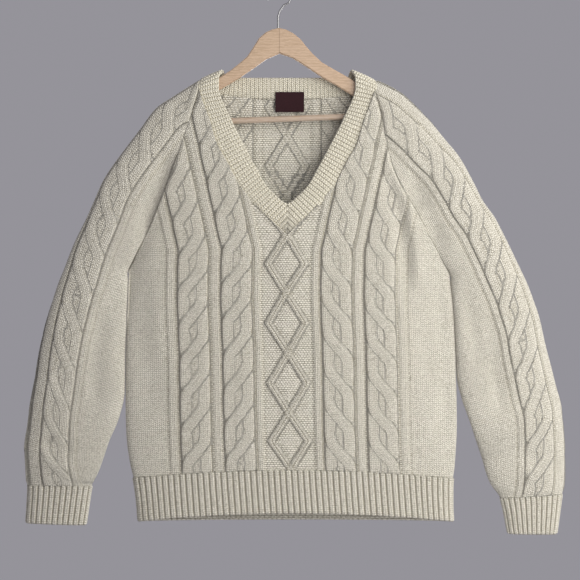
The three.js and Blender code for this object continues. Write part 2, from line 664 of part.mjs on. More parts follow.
function panel(name, map, plaits, diamonds) {
  const top = panelTop(map);
  const bottom = HEM_TOP - SEAM_GAP / 2;
  const q1 = { '-1': map.full[-1] - 0.15, 1: map.full[1] - 0.15 };
  const lineQ = [];
  [-1, 1].forEach((hand) => {
    BODY_LINES.forEach(([m, h, step]) => lineQ.push({ q: hand * m, h, step }));
    [26, 13, 5].forEach((m) => lineQ.push({ q: hand * (q1[hand] - m), h: 0, step: 55 }));
    lineQ.push({ q: hand * q1[hand], h: 0, step: 40, side: true });
  });
  lineQ.sort((a, b) => a.q - b.q);
  const spot = new Map();
  const edge = (q, h) => {
    const hand = q < 0 ? -1 : 1;
    const side = Math.abs(Math.abs(q) - q1[hand]) < 1e-9;
    spot.set(`top ${q}`, [q, side ? map.under[hand] + 0.3 : top.t(q), h]);
    spot.set(`end ${q}`, [q, bottom, h]);
  };
  lineQ.forEach(({ q, h }) => edge(q, h));
  [0, 10, 21, 31, 70, 93, 141, 153, 165, 217].forEach((m) => {
    edge(m, 0);
    if (m) edge(-m, 0);
  });
  // Where the neckline runs steeply it needs more points.
  if (map.face < 0) {
    [-1, 1].forEach((hand) => {
      for (let t = 186; t < 400; t += 13) {
        const m = solve(top.neck[hand], t, 1, top.corner[hand]);
        const near = [...spot.values()].some((p) => Math.abs(p[0] - hand * m) < 1.2);
        if (!near) edge(hand * m, 0);
      }
    });
  }
  [-1, 1].forEach((hand) => {
    const c = top.corner[hand];
    spot.set(`top ${hand * c}`, [hand * c, top.t(hand * c), 0]);
    spot.set(`end ${hand * c}`, [hand * c, bottom, 0]);
    [1.5, 3, 8.5, 19].forEach((m) => {
      const q = hand * (q1[hand] - m);
      spot.set(`top ${q}`, [q, top.t(q), 0]);
      spot.set(`end ${q}`, [q, bottom, 0]);
    });
  });
  const chain = [...spot.values()].sort((a, b) => a[0] - b[0]);
  const topRow = chain.filter((p) => p[1] < bottom - 1).map((p) => [p[0], p[1]]);
  const inside = (q, t) => t > linear(topRow, 1, q) && t < bottom + 1;
  const makeLine = (q, h, step, side) => {
    const ends = chain.filter((p) => p[0] === q);
    const start = Math.min(...ends.map((p) => p[1]));
    const points = [...ends];
    for (let t = bottom - step; t > start + 0.45 * step; t -= step) points.push([q, t, h]);
    return { q, points, side };
  };
  const outerLines = lineQ.map(({ q, h, step, side }) => makeLine(q, h, step, side));
  const innerLines = lineQ
    .filter(({ q }, i) => i === 0 || i === lineQ.length - 1
      || [41, 126.5, 202, 232].includes(Math.abs(q)) || Math.abs(q) > 240)
    .map(({ q, side }) => makeLine(q, 0, side ? 40 : 55, side));
  const clear = (q, t) => t > linear(topRow, 1, q - 3) + 5 && t > linear(topRow, 1, q + 3) + 5
    && t < bottom - 6;
  let extra = [];
  plaits.forEach((plait) => {
    extra = extra.concat(plaitPoints(...plait, clear));
  });
  extra = extra.concat(diamondPoints(diamonds, clear));
  const place = (layer, q, t, h) => {
    const hand = q < 0 ? -1 : 1;
    const lo = -map.width(-1, t) + 0.01;
    const hi = map.width(1, t) - 0.01;
    const n = normal(map.point, q, t, lo, hi, map.face < 0 ? -1 : 1);
    const p = map.point(q, t);
    const away = layer ? h : -WALL;
    const gap = Math.abs(q) > q1[hand] - 1e-6 ? map.face * 0.15 : 0;
    return [p[0] + n.x * away, p[1] + n.y * away + gap, p[2] + n.z * away];
  };
  return sheet(name, strips(outerLines, chain, extra, inside), strips(innerLines, chain, [], inside), place);
}

function sleevePiece(name, sleeve, [tip, repeat]) {
  const c = sleeve.twist;
  const bottom = sleeve.cuff - SEAM_GAP;
  const top = 1.6;
  const q = (hand, t) => hand * sleeve.width(hand, t) - c(t);
  const lines = [];
  [-1, 1].forEach((hand) => SLEEVE_LINES.forEach(([m, h, step]) => lines.push({ q: hand * m, h, step })));
  lines.sort((a, b) => a.q - b.q);
  const side = { '-1': new Map(), 1: new Map() };
  const addSide = (hand, t, h) => side[hand].set(t, [q(hand, t), t, h]);
  const steps = [top];
  const capRows = 14;
  for (let i = 1; i <= capRows; i += 1) steps.push((sleeve.underarm * i) / capRows);
  const tubeRows = 14;
  for (let i = 1; i <= tubeRows; i += 1) steps.push(lerp(sleeve.underarm, bottom, i / tubeRows));
  [-1, 1].forEach((hand) => steps.forEach((t) => addSide(hand, t, 0)));
  const chain = [];
  lines.forEach((line) => {
    const hand = line.q < q(1, top) && line.q > q(-1, top) ? 0 : Math.sign(line.q);
    if (hand === 0) {
      line.start = top;
    } else {
      line.start = solve((t) => hand * q(hand, t), hand * line.q, top, sleeve.underarm);
      side[hand].forEach((p, t) => {
        const free = steps.includes(t) && t > top && t < sleeve.underarm;
        if (free && Math.abs(t - line.start) < 6) side[hand].delete(t);
      });
      side[hand].set(line.start, [line.q, line.start, line.h]);
    }
  });
  const rows = {};
  [-1, 1].forEach((hand) => {
    rows[hand] = [...side[hand].values()].sort((a, b) => a[1] - b[1]).map((p) => [p[1], p[0]]);
    side[hand].forEach((p) => chain.push(p));
  });
  [top, bottom].forEach((t) => {
    const lo = q(-1, t);
    const hi = q(1, t);
    const fixed = lines.filter((l) => t === bottom || l.start === top).map((l) => l.q);
    fixed.forEach((v) => chain.push([v, t, lines.find((l) => l.q === v).h]));
    [-90, -48, -36, -24, -3, 3, 24, 36, 48, 90].forEach((v) => {
      if (v > lo + 4 && v < hi - 4) chain.push([v, t, 0]);
    });
  });
  const inside = (v, t) => v > linear(rows[-1], 1, t) && v < linear(rows[1], 1, t) && t > top - 1;
  const makeLine = (line, step, h) => {
    const points = chain.filter((p) => p[0] === line.q);
    for (let t = bottom - step; t > line.start + 0.45 * step; t -= step) points.push([line.q, t, h]);
    return { q: line.q, points };
  };
  const far = { '-1': { q: -400, points: [] }, 1: { q: 400, points: [] } };
  const outerLines = [far[-1], ...lines.map((l) => makeLine(l, l.step, l.h)), far[1]];
  const innerLines = [far[-1], ...lines.filter((l) => [12.5, 76].includes(Math.abs(l.q)))
    .map((l) => makeLine(l, 55, 0)), far[1]];
  const clear = (v, t) => v > linear(rows[-1], 1, t) + 6 && v < linear(rows[1], 1, t) - 6
    && t > top + 7 && t < bottom - 6;
  const plain = [];
  for (let i = -3; i < tubeRows; i += 2) {
    const t = lerp(sleeve.underarm, bottom, i / tubeRows);
    [-1, 1].forEach((hand) => {
      const reach = hand * q(hand, t);
      [7, 20, 42].forEach((m) => {
        const v = hand * (reach - m);
        if (reach - m > 84 && t > 120 && clear(v, t)) plain.push([v, t, 0]);
      });
    });
  }
  const open = [];
  for (let i = 0; i < 13; i += 1) {
    const t = bottom - 40 - i * 55;
    [-5, 5, 45, -45].forEach((v) => {
      if (clear(v, t)) open.push([v, t, 0]);
    });
  }
  const extra = [
    ...plaitPoints(SLEEVE_PLAIT, -1, tip, repeat, clear),
    ...plaitPoints(-SLEEVE_PLAIT, 1, tip, repeat, clear),
    ...plain,
  ];
  const { flip } = sleeve;
  const place = (layer, v, t, h) => {
    const u = v + c(t);
    const wf = sleeve.width(1, t);
    const wb = sleeve.width(-1, t);
    let n = normal(sleeve.point, u, t, -wb, wf, flip);
    if (t > sleeve.underarm - 1e-6 && (u > wf - 1e-6 || u < 1e-6 - wb)) {
      n = normal(sleeve.point, wf, t, -wb, wf, flip).add(normal(sleeve.point, -wb, t, -wb, wf, flip));
      n.normalize();
    }
    const p = sleeve.point(u, t);
    const away = layer ? h : -WALL;
    return [p[0] + n.x * away, p[1] + n.y * away, p[2] + n.z * away];
  };
  const onSide = (p) => Math.abs(p[0] - q(1, p[1])) < 1e-6 || Math.abs(p[0] - q(-1, p[1])) < 1e-6;
  const closed = (a, b) => Math.min(a[1], b[1]) > sleeve.underarm - 1e-6 && onSide(a) && onSide(b)
    && Math.abs(a[1] - b[1]) > 1e-6;
  return sheet(name, strips(outerLines, chain, extra, inside),
    strips(innerLines, chain, [...plain, ...open], inside), place, closed);
}

// A ribbed strip: columns alternate ridge and furrow, the inside follows them.
function ribbed(name, columns, rows, at, ring) {
  const position = [];
  const index = [];
  for (let layer = 0; layer < 2; layer += 1) {
    for (let i = 0; i < columns; i += 1) {
      for (let j = 0; j < rows; j += 1) position.push(...at(layer, i, j));
    }
  }
  const id = (layer, i, j) => layer * columns * rows + (i % columns) * rows + j;
  const quad = (a, b, c, d) => {
    if (a !== b && a !== c && b !== c) index.push(a, b, c);
    if (a !== c && a !== d && c !== d) index.push(a, c, d);
  };
  const last = ring ? columns : columns - 1;
  for (let i = 0; i < last; i += 1) {
    for (let j = 0; j + 1 < rows; j += 1) {
      quad(id(1, i, j), id(1, i, j + 1), id(1, i + 1, j + 1), id(1, i + 1, j));
      quad(id(0, i, j), id(0, i + 1, j), id(0, i + 1, j + 1), id(0, i, j + 1));
    }
    quad(id(1, i, 0), id(1, i + 1, 0), id(0, i + 1, 0), id(0, i, 0));
    quad(id(1, i, rows - 1), id(0, i, rows - 1), id(0, i + 1, rows - 1), id(1, i + 1, rows - 1));
  }
  if (!ring) {
    for (let j = 0; j + 1 < rows; j += 1) {
      quad(id(1, 0, j), id(0, 0, j), id(0, 0, j + 1), id(1, 0, j + 1));
      quad(id(1, last, j), id(1, last, j + 1), id(0, last, j + 1), id(0, last, j));
    }
  }
  return finish(name, position, index);
}

function hem(name, map) {
  const ribs = Math.round((map.full[-1] + map.full[1]) / HEM_RIB);
  const columns = 2 * ribs + 1;
  const lo = -map.full[-1] + 0.15;
  const hi = map.full[1] - 0.15;
  return ribbed(name, columns, 2, (layer, i, j) => {
    const q = lerp(lo, hi, i / (columns - 1));
    const t = j ? HEM_BOTTOM : HEM_TOP + SEAM_GAP / 2;
    const n = normal(map.point, q, t, lo, hi, map.face < 0 ? -1 : 1);
    const p = map.point(q, t);
    const ends = i === 0 || i === columns - 1;
    const away = (i % 2 ? RIB_DEPTH : -0.4) - (layer ? 0 : WALL);
    return [p[0] + n.x * away, p[1] + n.y * away + (ends ? map.face * 0.15 : 0), p[2] + n.z * away];
  });
}

function cuff(name, sleeve) {
  const w = (t) => sleeve.width(1, t);
  const ribs = Math.round((2 * w(sleeve.cuff)) / CUFF_RIB);
  const columns = 2 * ribs;
  return ribbed(name, columns, 2, (layer, i, j) => {
    const t = j ? sleeve.last : sleeve.cuff + SEAM_GAP / 2;
    const u = lerp(-w(t), w(t), i / columns);
    let n = normal(sleeve.point, u, t, -w(t), w(t), sleeve.flip);
    if (i === 0) n = n.add(normal(sleeve.point, w(t), t, -w(t), w(t), sleeve.flip)).normalize();
    const p = sleeve.point(u, t);
    const away = (i % 2 ? RIB_DEPTH : -0.4) - (layer ? 0 : WALL);
    return [p[0] + n.x * away, p[1] + n.y * away, p[2] + n.z * away];
  }, true);
}

function neckband() {
  const halves = bandHalves;
  const ribs = 2 * Math.round(halves[0].total / NECK_RIB);
  const position = [];
  const index = [];
  const known = new Map();
  const vertex = (p) => {
    const key = p.map((v) => Math.round(v * 400)).join(' ');
    if (!known.has(key)) {
      known.set(key, position.length / 3);
      position.push(...p);
    }
    return known.get(key);
  };
  const mitreRibs = Math.ceil((halves[0].mitre / halves[0].total) * ribs);
  const ring = (half, hand, k) => {
    const s = k <= mitreRibs ? (half.mitre * k) / mitreRibs
      : lerp(half.mitre, half.total, (k - mitreRibs) / (ribs - mitreRibs));
    const r = half.at(s);
    const a = half.at(Math.max(0.01, s - 1.5));
    const b = half.at(Math.min(half.total, s + 1.5));
    const outer = new THREE.Vector3(r[0], r[2], -r[1]);
    const inner = new THREE.Vector3(r[3], r[5], -r[4]);
    const before = new THREE.Vector3(a[0] + a[3], a[2] + a[5], -a[1] - a[4]);
    const after = new THREE.Vector3(b[0] + b[3], b[2] + b[5], -b[1] - b[4]);
    const down = after.sub(before);
    const wide = inner.clone().sub(outer);
    let n = down.cross(wide).normalize().multiplyScalar(hand);
    if (k === 0) n = new THREE.Vector3(0, -1, 0);
    if (s < half.mitre * 1.3) n = n.lerp(new THREE.Vector3(0, -1, 0), 1 - s / (half.mitre * 1.3)).normalize();
    if (k === ribs) n = new THREE.Vector3(0, 1, 0);
    const raise = k === 0 || k === ribs ? 0 : (k % 2 ? 0.9 : -0.7);
    const grow = (p, away) => [p.x + n.x * away, p.y + n.y * away, p.z + n.z * away];
    return [
      grow(outer, raise), grow(inner, raise), grow(inner, -BAND_THICK - raise), grow(outer, -BAND_THICK - raise),
    ];
  };
  halves.forEach((half, which) => {
    const hand = which ? 1 : -1;
    let before = null;
    for (let k = 0; k <= ribs; k += 1) {
      const now = ring(half, hand, k);
      // On the mitre the inner ends of both halves meet on the centre line.
      if (k <= mitreRibs) {
        [1, 2].forEach((m) => {
          now[m][0] = NECK_X;
          now[m][1] = m === 1 ? -17.9 : -17.9 + BAND_THICK;
        });
        if (k === 0) {
          now[0] = [...now[1]];
          now[3] = [...now[2]];
        }
      }
      const ids = now.map(vertex);
      if (before) {
        for (let m = 0; m < 4; m += 1) {
          if (m === 1 && k <= mitreRibs) continue;
          const a = before[m];
          const b = before[(m + 1) % 4];
          const c = ids[(m + 1) % 4];
          const d = ids[m];
          const order = hand > 0 ? [a, d, c, b] : [a, b, c, d];
          const push = (x, y, z) => {
            if (x !== y && y !== z && x !== z) index.push(x, y, z);
          };
          push(order[0], order[1], order[2]);
          push(order[0], order[2], order[3]);
        }
      }
      before = ids;
    }
  });
  return finish('neckband', position, index);
}

function label() {
  const wide = 47;
  const tall = 33;
  const position = [];
  const index = [];
  const columns = 7;
  const rows = 3;
  for (let layer = 0; layer < 2; layer += 1) {
    for (let i = 0; i < columns; i += 1) {
      for (let j = 0; j < rows; j += 1) {
        const x = 17.5 + wide * (i / (columns - 1) - 0.5);
        const z = -(174.5 + (tall * j) / (rows - 1));
        const y = 8.3 + 0.35 * j - 0.12 * (i / 3 - 1) ** 2;
        position.push(x, y - layer * 0.7, z);
      }
    }
  }
  const id = (layer, i, j) => (layer * columns + i) * rows + j;
  const quad = (a, b, c, d) => index.push(a, b, c, a, c, d);
  for (let i = 0; i + 1 < columns; i += 1) {
    for (let j = 0; j + 1 < rows; j += 1) {
      quad(id(1, i, j), id(1, i, j + 1), id(1, i + 1, j + 1), id(1, i + 1, j));
      quad(id(0, i, j), id(0, i + 1, j), id(0, i + 1, j + 1), id(0, i, j + 1));
    }
    quad(id(1, i, 0), id(1, i + 1, 0), id(0, i + 1, 0), id(0, i, 0));
    quad(id(1, i, rows - 1), id(0, i, rows - 1), id(0, i + 1, rows - 1), id(1, i + 1, rows - 1));
  }
  for (let j = 0; j + 1 < rows; j += 1) {
    const e = columns - 1;
    quad(id(1, 0, j), id(0, 0, j), id(0, 0, j + 1), id(1, 0, j + 1));
    quad(id(1, e, j), id(1, e, j + 1), id(0, e, j + 1), id(0, e, j));
  }
  return finish('label', position, index);
}

// Hanger: outline of the wooden body in x and depth below the origin.
const WOOD = [
  [0, 70.7], [12, 73.5], [24, 80], [36, 90], [44, 100.5], [55, 113], [70, 127], [88, 137.5],
  [105, 147], [150, 173.5], [188, 194], [201, 202.5], [206, 211.5], [205, 221], [198, 226.5],
  [187, 225], [160, 207.5], [124, 184], [96, 166.5], [70, 151.5], [45, 134.5], [22, 120], [1, 112.5],
  [-20, 121.5], [-42, 137], [-66, 153.5], [-99.4, 173.4], [-135, 199], [-165, 221], [-178, 233.5],
  [-187, 236], [-191.5, 229], [-192, 220], [-187, 211.5], [-176, 202.5], [-140, 178.5], [-99.4, 153],
  [-79.9, 140.5], [-66, 129.5], [-52.2, 117.5], [-41.6, 101.5], [-33, 87.5], [-22, 78], [-11, 73],
];
const BAR_ENDS = [[-181, 226.5], [197, 212.3]];

function rodGeometry(points, radius, around) {
  const position = [];
  const index = [];
  const n = points.length;
  const up = new THREE.Vector3(0, 1, 0);
  const at = (i) => new THREE.Vector3(...points[i]);
  for (let i = 0; i < n; i += 1) {
    const along = at(Math.min(n - 1, i + 1)).sub(at(Math.max(0, i - 1))).normalize();
    const a = up.clone().sub(along.clone().multiplyScalar(up.dot(along))).normalize();
    const b = along.clone().cross(a);
    for (let k = 0; k < around; k += 1) {
      const w = (2 * Math.PI * k) / around;
      const p = at(i).addScaledVector(a, radius * Math.cos(w)).addScaledVector(b, radius * Math.sin(w));
      position.push(p.x, p.y, p.z);
    }
  }
  position.push(...points[0], ...points[n - 1]);
  const id = (i, k) => i * around + (k % around);
  for (let k = 0; k < around; k += 1) {
    for (let i = 0; i + 1 < n; i += 1) {
      index.push(id(i, k), id(i, k + 1), id(i + 1, k + 1), id(i, k), id(i + 1, k + 1), id(i + 1, k));
    }
    index.push(n * around, id(0, k + 1), id(0, k), n * around + 1, id(n - 1, k), id(n - 1, k + 1));
  }
  return { position, index };
}

async function hanger() {
  const kit = await Module();
  kit.setup();
  const solid = ({ position, index }) => new kit.Manifold(new kit.Mesh({
    numProp: 3, vertProperties: new Float32Array(position), triVerts: new Uint32Array(index) }));
  const outline = new kit.CrossSection([WOOD.map(([x, d]) => [x, -d])], 'NonZero');
  const slab = (grow, thick) => {
    const face = outline.offset(grow, 'Round', 2, 12);
    return face.extrude(thick).translate([0, 0, -thick / 2]).rotate([90, 0, 0]);
  };
  const rounded = slab(0, WOOD_THICK - 4).add(slab(-1.6, WOOD_THICK));
  const barPoints = BAR_ENDS.map(([x, d]) => [x, 0, -d]);
  const socket = solid(rodGeometry(barPoints, BAR_DIAMETER / 2 + 0.15, 16));
  const stemHole = solid(rodGeometry([[-1.6, 0, -60], [-1.6, 0, -92]], WIRE_DIAMETER / 2 + 0.15, 10));
  const wood = rounded.subtract(socket).subtract(stemHole);
  const mesh = wood.getMesh();
  const woodMesh = finish('hanger_wood', Array.from(mesh.vertProperties), Array.from(mesh.triVerts));
  const inset = BAR_ENDS.map(([x, d], k) => [x + (k ? -0.3 : 0.3), 0, -d]);
  const bar = rodGeometry(inset, BAR_DIAMETER / 2, 16);
  const barMesh = finish('hanger_bar', bar.position, bar.index);
  const wire = [[-1.6, 0, -91.7], [-1.6, 0, -70], [-1.6, 0, -52]];
  wire.push([1.5, 0, -42], [8, 0, -33]);
  const radius = 18 + WIRE_DIAMETER / 2;
  for (let a = -35; a <= 200; a += 23.5) {
    const w = (a * Math.PI) / 180;
    wire.push([radius * Math.cos(w), 0, -18 + radius * Math.sin(w)]);
  }
  const hook = rodGeometry(wire, WIRE_DIAMETER / 2, 10);
  const hookMesh = finish('hanger_hook', hook.position, hook.index);
  return [woodMesh, barMesh, hookMesh];
}

const root = new THREE.Group();
root.name = 'cable_knit_sweater';
root.add(panel('front', frontFace, FRONT_PLAITS, [409.8, 503.5, 602, 700, 791]));
root.add(panel('back', backFace, BACK_PLAITS, [151, 247, 345, 443, 541, 639, 737, 833]));
root.add(sleevePiece('sleeve_left', leftSleeve, LEFT_PLAIT));
root.add(sleevePiece('sleeve_right', rightSleeve, RIGHT_PLAIT));
root.add(hem('hem_front', frontFace));
root.add(hem('hem_back', backFace));
root.add(cuff('cuff_left', leftSleeve));
root.add(cuff('cuff_right', rightSleeve));
root.add(neckband());
root.add(label());
(await hanger()).forEach((mesh) => root.add(mesh));

export default root;
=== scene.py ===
"""Looks of the cable knit sweater on its hanger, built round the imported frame. Metres, +Z up, chest to -Y.

Lengths inside the tables and helpers are millimetres, as in the solids, and MM turns them into metres.
"""
import json
import math

import bmesh
import bpy
import numpy as np
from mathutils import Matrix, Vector

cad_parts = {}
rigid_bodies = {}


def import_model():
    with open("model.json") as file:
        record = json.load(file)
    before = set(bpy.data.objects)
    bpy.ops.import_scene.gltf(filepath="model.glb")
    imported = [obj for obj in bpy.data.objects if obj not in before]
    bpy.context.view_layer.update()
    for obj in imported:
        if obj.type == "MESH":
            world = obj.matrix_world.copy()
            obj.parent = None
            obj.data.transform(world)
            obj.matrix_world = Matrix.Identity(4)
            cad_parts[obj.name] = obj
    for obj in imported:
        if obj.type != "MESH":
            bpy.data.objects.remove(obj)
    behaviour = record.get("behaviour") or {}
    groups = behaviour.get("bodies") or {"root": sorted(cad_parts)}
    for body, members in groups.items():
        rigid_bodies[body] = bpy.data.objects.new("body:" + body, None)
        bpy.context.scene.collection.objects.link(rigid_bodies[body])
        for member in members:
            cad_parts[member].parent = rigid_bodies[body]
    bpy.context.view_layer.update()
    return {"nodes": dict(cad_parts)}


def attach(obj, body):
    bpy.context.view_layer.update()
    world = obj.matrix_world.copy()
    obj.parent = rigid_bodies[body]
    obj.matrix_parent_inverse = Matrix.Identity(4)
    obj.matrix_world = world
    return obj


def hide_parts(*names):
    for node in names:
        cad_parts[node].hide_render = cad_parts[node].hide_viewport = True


MM = 0.001
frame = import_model()

REPEAT = 55.0
# The front leans out above this depth, easing in over this much cloth.
LEAN = 0.22
LEAN_FROM = 434.0
LEAN_WIDE = 40.0
PLAIN_FROM = 200.0
BODY_POWER = 3.2
SLEEVE_POWER = 2.6
HEM_TOP = 793.0
HEM_BOTTOM = 864.0
SAG = 15.0
STITCH_WIDE = 4.8
STITCH_HIGH = 3.5
NECK_X = 13.0
BAND_THICK = 4.4
HALF_WIDE = 275.0
UNDERARM = {-1: 470.1, 1: 476.6}
# Gaps beside the seams of a panel and between a ribbed piece and the one above it.
SIDE_GAP = 0.15
RIB_GAP = 0.02
INNER_SET = 2.5
# Ribs: pitch, height, columns of mesh, and how many stitch columns fit one unit of the stitch map.
HEM_PITCH, CUFF_PITCH, BAND_PITCH = 9.6, 9.2, 6.7
HEM_RIB, CUFF_RIB = 3.0, 2.6
TO_A_RIB = 8
RIB_STITCH = 0.82

# Down the outer fold, fold x and depth, front seam x and depth, back seam x and depth where it differs.
LEFT_STATIONS = [
    [0, -130.4, 157.1, -132.0, 175.1, -96.2, 178.3],
    [25, -151.6, 170.2, -139.4, 199.5, -114.1, 209.3],
    [52, -174.4, 184.8, -145.9, 220.7, -127.1, 232.1],
    [84, -200.5, 202.8, -153.2, 240.3, -138.5, 251.7],
    [127, -226.6, 237.0, -167.9, 282.6, -156.5, 287.5],
    [194, -267.3, 290.8, -189.1, 343.0, -182.6, 338.1],
    [229, -286.9, 320.1, -200.5, 370.7, -195.6, 364.1],
    [265, -301.5, 352.7, -211.9, 398.4, -208.6, 390.2],
    [301, -316.2, 385.3, -226.6, 426.1, -224.9, 422.8],
    [334, -330.9, 414.7, -239.6, 452.2, -238.0, 450.5],
    [359, -340.7, 437.5, -247.8, 470.1],
    [386, -350.4, 463.6, -249.7, 502.7],
    [418, -361.9, 492.9, -251.3, 541.8],
    [450, -371.6, 523.9, -252.6, 580.9],
    [481, -379.8, 553.2, -253.3, 616.8],
    [526, -389.6, 597.2, -254.3, 665.7],
    [567, -396.1, 638.0, -264.9, 711.3],
    [612, -404.2, 682.0, -278.7, 748.8],
    [650, -409.1, 719.5, -286.9, 773.3],
    [689, -414.0, 758.6, -295.0, 796.1],
    [723, -412.4, 792.8, -303.2, 812.4],
    [750, -410.8, 818.9, -306.4, 820.5],
    [812, -414.0, 880.9, -316.2, 884.2],
]
RIGHT_STATIONS = [
    [0, 159.7, 158.8, 158.1, 178.3, 122.2, 180.0],
    [23, 180.9, 168.5, 164.6, 202.8, 140.2, 210.9],
    [46, 200.5, 180.0, 168.7, 222.3, 150.0, 228.9],
    [77, 223.3, 201.1, 173.6, 251.7, 163.0, 250.0],
    [112, 247.8, 225.6, 182.6, 287.5, 179.3, 284.3],
    [150, 272.2, 254.9, 195.6, 320.1, 192.3, 316.9],
    [186, 295.0, 282.6, 211.9, 351.1, 208.6, 349.5],
    [232, 317.8, 323.4, 226.6, 375.6, 223.3, 373.9],
    [265, 332.5, 352.7, 241.2, 404.9, 239.6, 403.3],
    [299, 352.1, 380.4, 255.9, 431.0, 254.3, 429.3],
    [327, 365.1, 404.9, 268.9, 455.4, 268.1, 454.6],
    [352, 376.5, 427.7, 280.4, 476.6],
    [390, 392.8, 461.9, 284.9, 512.5],
    [421, 405.9, 489.7, 287.9, 545.1],
    [449, 415.6, 515.7, 289.8, 574.4],
    [480, 425.4, 545.1, 291.4, 607.0],
    [525, 435.2, 589.1, 293.4, 646.1],
    [564, 445.0, 626.6, 301.5, 678.7],
    [597, 453.1, 659.2, 311.3, 711.3],
    [623, 459.7, 683.6, 319.5, 737.4],
    [650, 462.9, 711.3, 326.0, 757.0],
    [683, 465.4, 743.9, 332.5, 776.5],
    [712, 466.2, 773.3, 339.0, 799.4],
    [739, 466.2, 799.4, 347.2, 818.9],
    [773, 462.9, 833.6, 361.9, 840.1],
    [840, 454.0, 899.2, 375.0, 898.5],
]
# Down the fold, how far round the section the seam sits, half depth.
LEFT_ROUND = [
    [0, -0.55, 15], [52, -0.35, 15.5], [84, -0.15, 16], [127, 0.1, 16.5], [194, 0.4, 17],
    [229, 0.58, 16.5], [265, 0.74, 17], [301, 0.87, 17], [334, 0.96, 17], [359, 1, 17],
    [526, 1, 16.5], [750, 1, 14], [812, 1, 13],
]
RIGHT_ROUND = [
    [0, -0.55, 15], [46, -0.35, 15.5], [77, -0.15, 16], [112, 0.05, 16.5], [150, 0.25, 16.5],
    [186, 0.4, 17], [232, 0.6, 16.5], [265, 0.76, 17], [299, 0.88, 17], [327, 0.96, 17], [352, 1, 17],
    [525, 1, 16.5], [773, 1, 14], [840, 1, 12.5],
]
# Down the fold, where the middle stripe's centre lies round the sleeve.
LEFT_TWIST = [[0, -5], [130, -5], [260, -2], [450, 10], [750, 20], [812, 20]]
RIGHT_TWIST = [[0, 15], [120, 10], [260, 2], [450, 6], [773, 12], [840, 12]]
# Depth below the origin, x of the side seam.
BODY_LEFT = [
    [470, -246.1], [515.7, -247.8], [580.9, -250.2], [677.1, -251.3], [743.9, -249.4],
    [784.7, -243.7], [809.1, -238.0], [841.7, -233.1], [880.9, -229.8],
]
BODY_RIGHT = [
    [476.5, 279.3], [532, 285.2], [589.1, 288.5], [646.1, 290.1], [721.1, 291.0],
    [784.7, 287.7], [825.4, 283.6], [849.9, 283.6], [880.9, 285.2],
]
# Depth below the origin, x of the centre line, half depth.
BODY_CENTRE = [
    [173, 13, 15], [290, 13, 17], [410, 13, 18.5], [502, 11.4, 19.5], [602, 14.7, 20],
    [700, 16.3, 20.5], [791, 19.6, 21], [881, 26.1, 21],
]
# Left half of the neckband: outer x, depth, y, inner x, depth, y.
BAND = [
    [13.0, 409.3, -18.2, 13.0, 409.0, -18.2],
    [-11.0, 386.9, -17.6, 13.0, 362.5, -17.0],
    [-20.8, 378.4, -17.4, 3.3, 354.4, -16.9],
    [-46.8, 350.7, -17.0, -21.2, 330.0, -16.4],
    [-69.6, 321.4, -16.4, -39.1, 299.0, -15.8],
    [-85.9, 290.4, -15.8, -53.0, 272.9, -15.0],
    [-103.7, 258.0, -14.9, -70.1, 240.3, -14.2],
    [-115.1, 220.5, -13.8, -83.9, 210.9, -13.2],
    [-124.9, 194.4, -14.2, -94.5, 188.1, -13.6],
    [-131.0, 174.8, -13.6, -99.4, 168.5, -13.0],
    [-130.4, 162.5, -11.4, -98.6, 149.5, -11.4],
    [-128.6, 155.2, 0, -92.9, 139.4, 0],
    [-118.0, 161.5, 11.4, -90.5, 144.5, 11.2],
    [-96.4, 177.5, 13.8, -86.0, 151.5, 13.4],
    [-71.7, 181.2, 14.0, -70.0, 152.2, 13.8],
    [-29.3, 183.4, 14.0, -29.3, 152.2, 14.0],
    [13.0, 183.9, 14.0, 13.0, 152.2, 14.0],
]
BAND_RIGHT = { 9: [157.0, 178.0, -13.6], 10: [158.4, 164.5, -11.4], 11: [157.8, 156.8, 0] }


# Small helpers.
def lerp(a, b, f):
    return a + (b - a) * f


def smooth(a, b, v):
    f = np.clip((np.asarray(v, float) - a) / (b - a), 0, 1)
    return f * f * (3 - 2 * f)


def column(table, index):
    """Smooth curve through table rows, the first column is the key."""
    xs = np.array([row[0] for row in table], float)
    ys = np.array([row[index] for row in table], float)
    d = np.diff(ys) / np.diff(xs)
    slope = np.concatenate([d[:1], np.zeros(len(xs) - 2), d[-1:]])
    for i in range(1, len(xs) - 1):
        if d[i - 1] * d[i] > 0:
            mean = (ys[i + 1] - ys[i - 1]) / (xs[i + 1] - xs[i - 1])
            slope[i] = math.copysign(min(abs(mean), 3 * min(abs(d[i - 1]), abs(d[i]))), mean)

    def at(v):
        v = np.asarray(v, float)
        i = np.clip(np.searchsorted(xs, v) - 1, 0, len(xs) - 2)
        h = xs[i + 1] - xs[i]
        f = np.clip((v - xs[i]) / h, 0, 1)
        out = (ys[i] * (2 * f**3 - 3 * f**2 + 1) + slope[i] * h * (f**3 - 2 * f**2 + f)
               + ys[i + 1] * (3 * f**2 - 2 * f**3) + slope[i + 1] * h * (f**3 - f**2))
        out = np.where(v < xs[0], ys[0] + slope[0] * (v - xs[0]), out)
        return np.where(v > xs[-1], ys[-1] + slope[-1] * (v - xs[-1]), out)
    return at


def walked(points):
    """Length walked along each row's polyline."""
    step = np.linalg.norm(np.diff(points, axis=1), axis=2)
    return np.concatenate([np.zeros((len(points), 1)), np.cumsum(step, 1)], 1)


def unit(n):
    return n / np.maximum(1e-9, np.linalg.norm(n, axis=-1, keepdims=True))


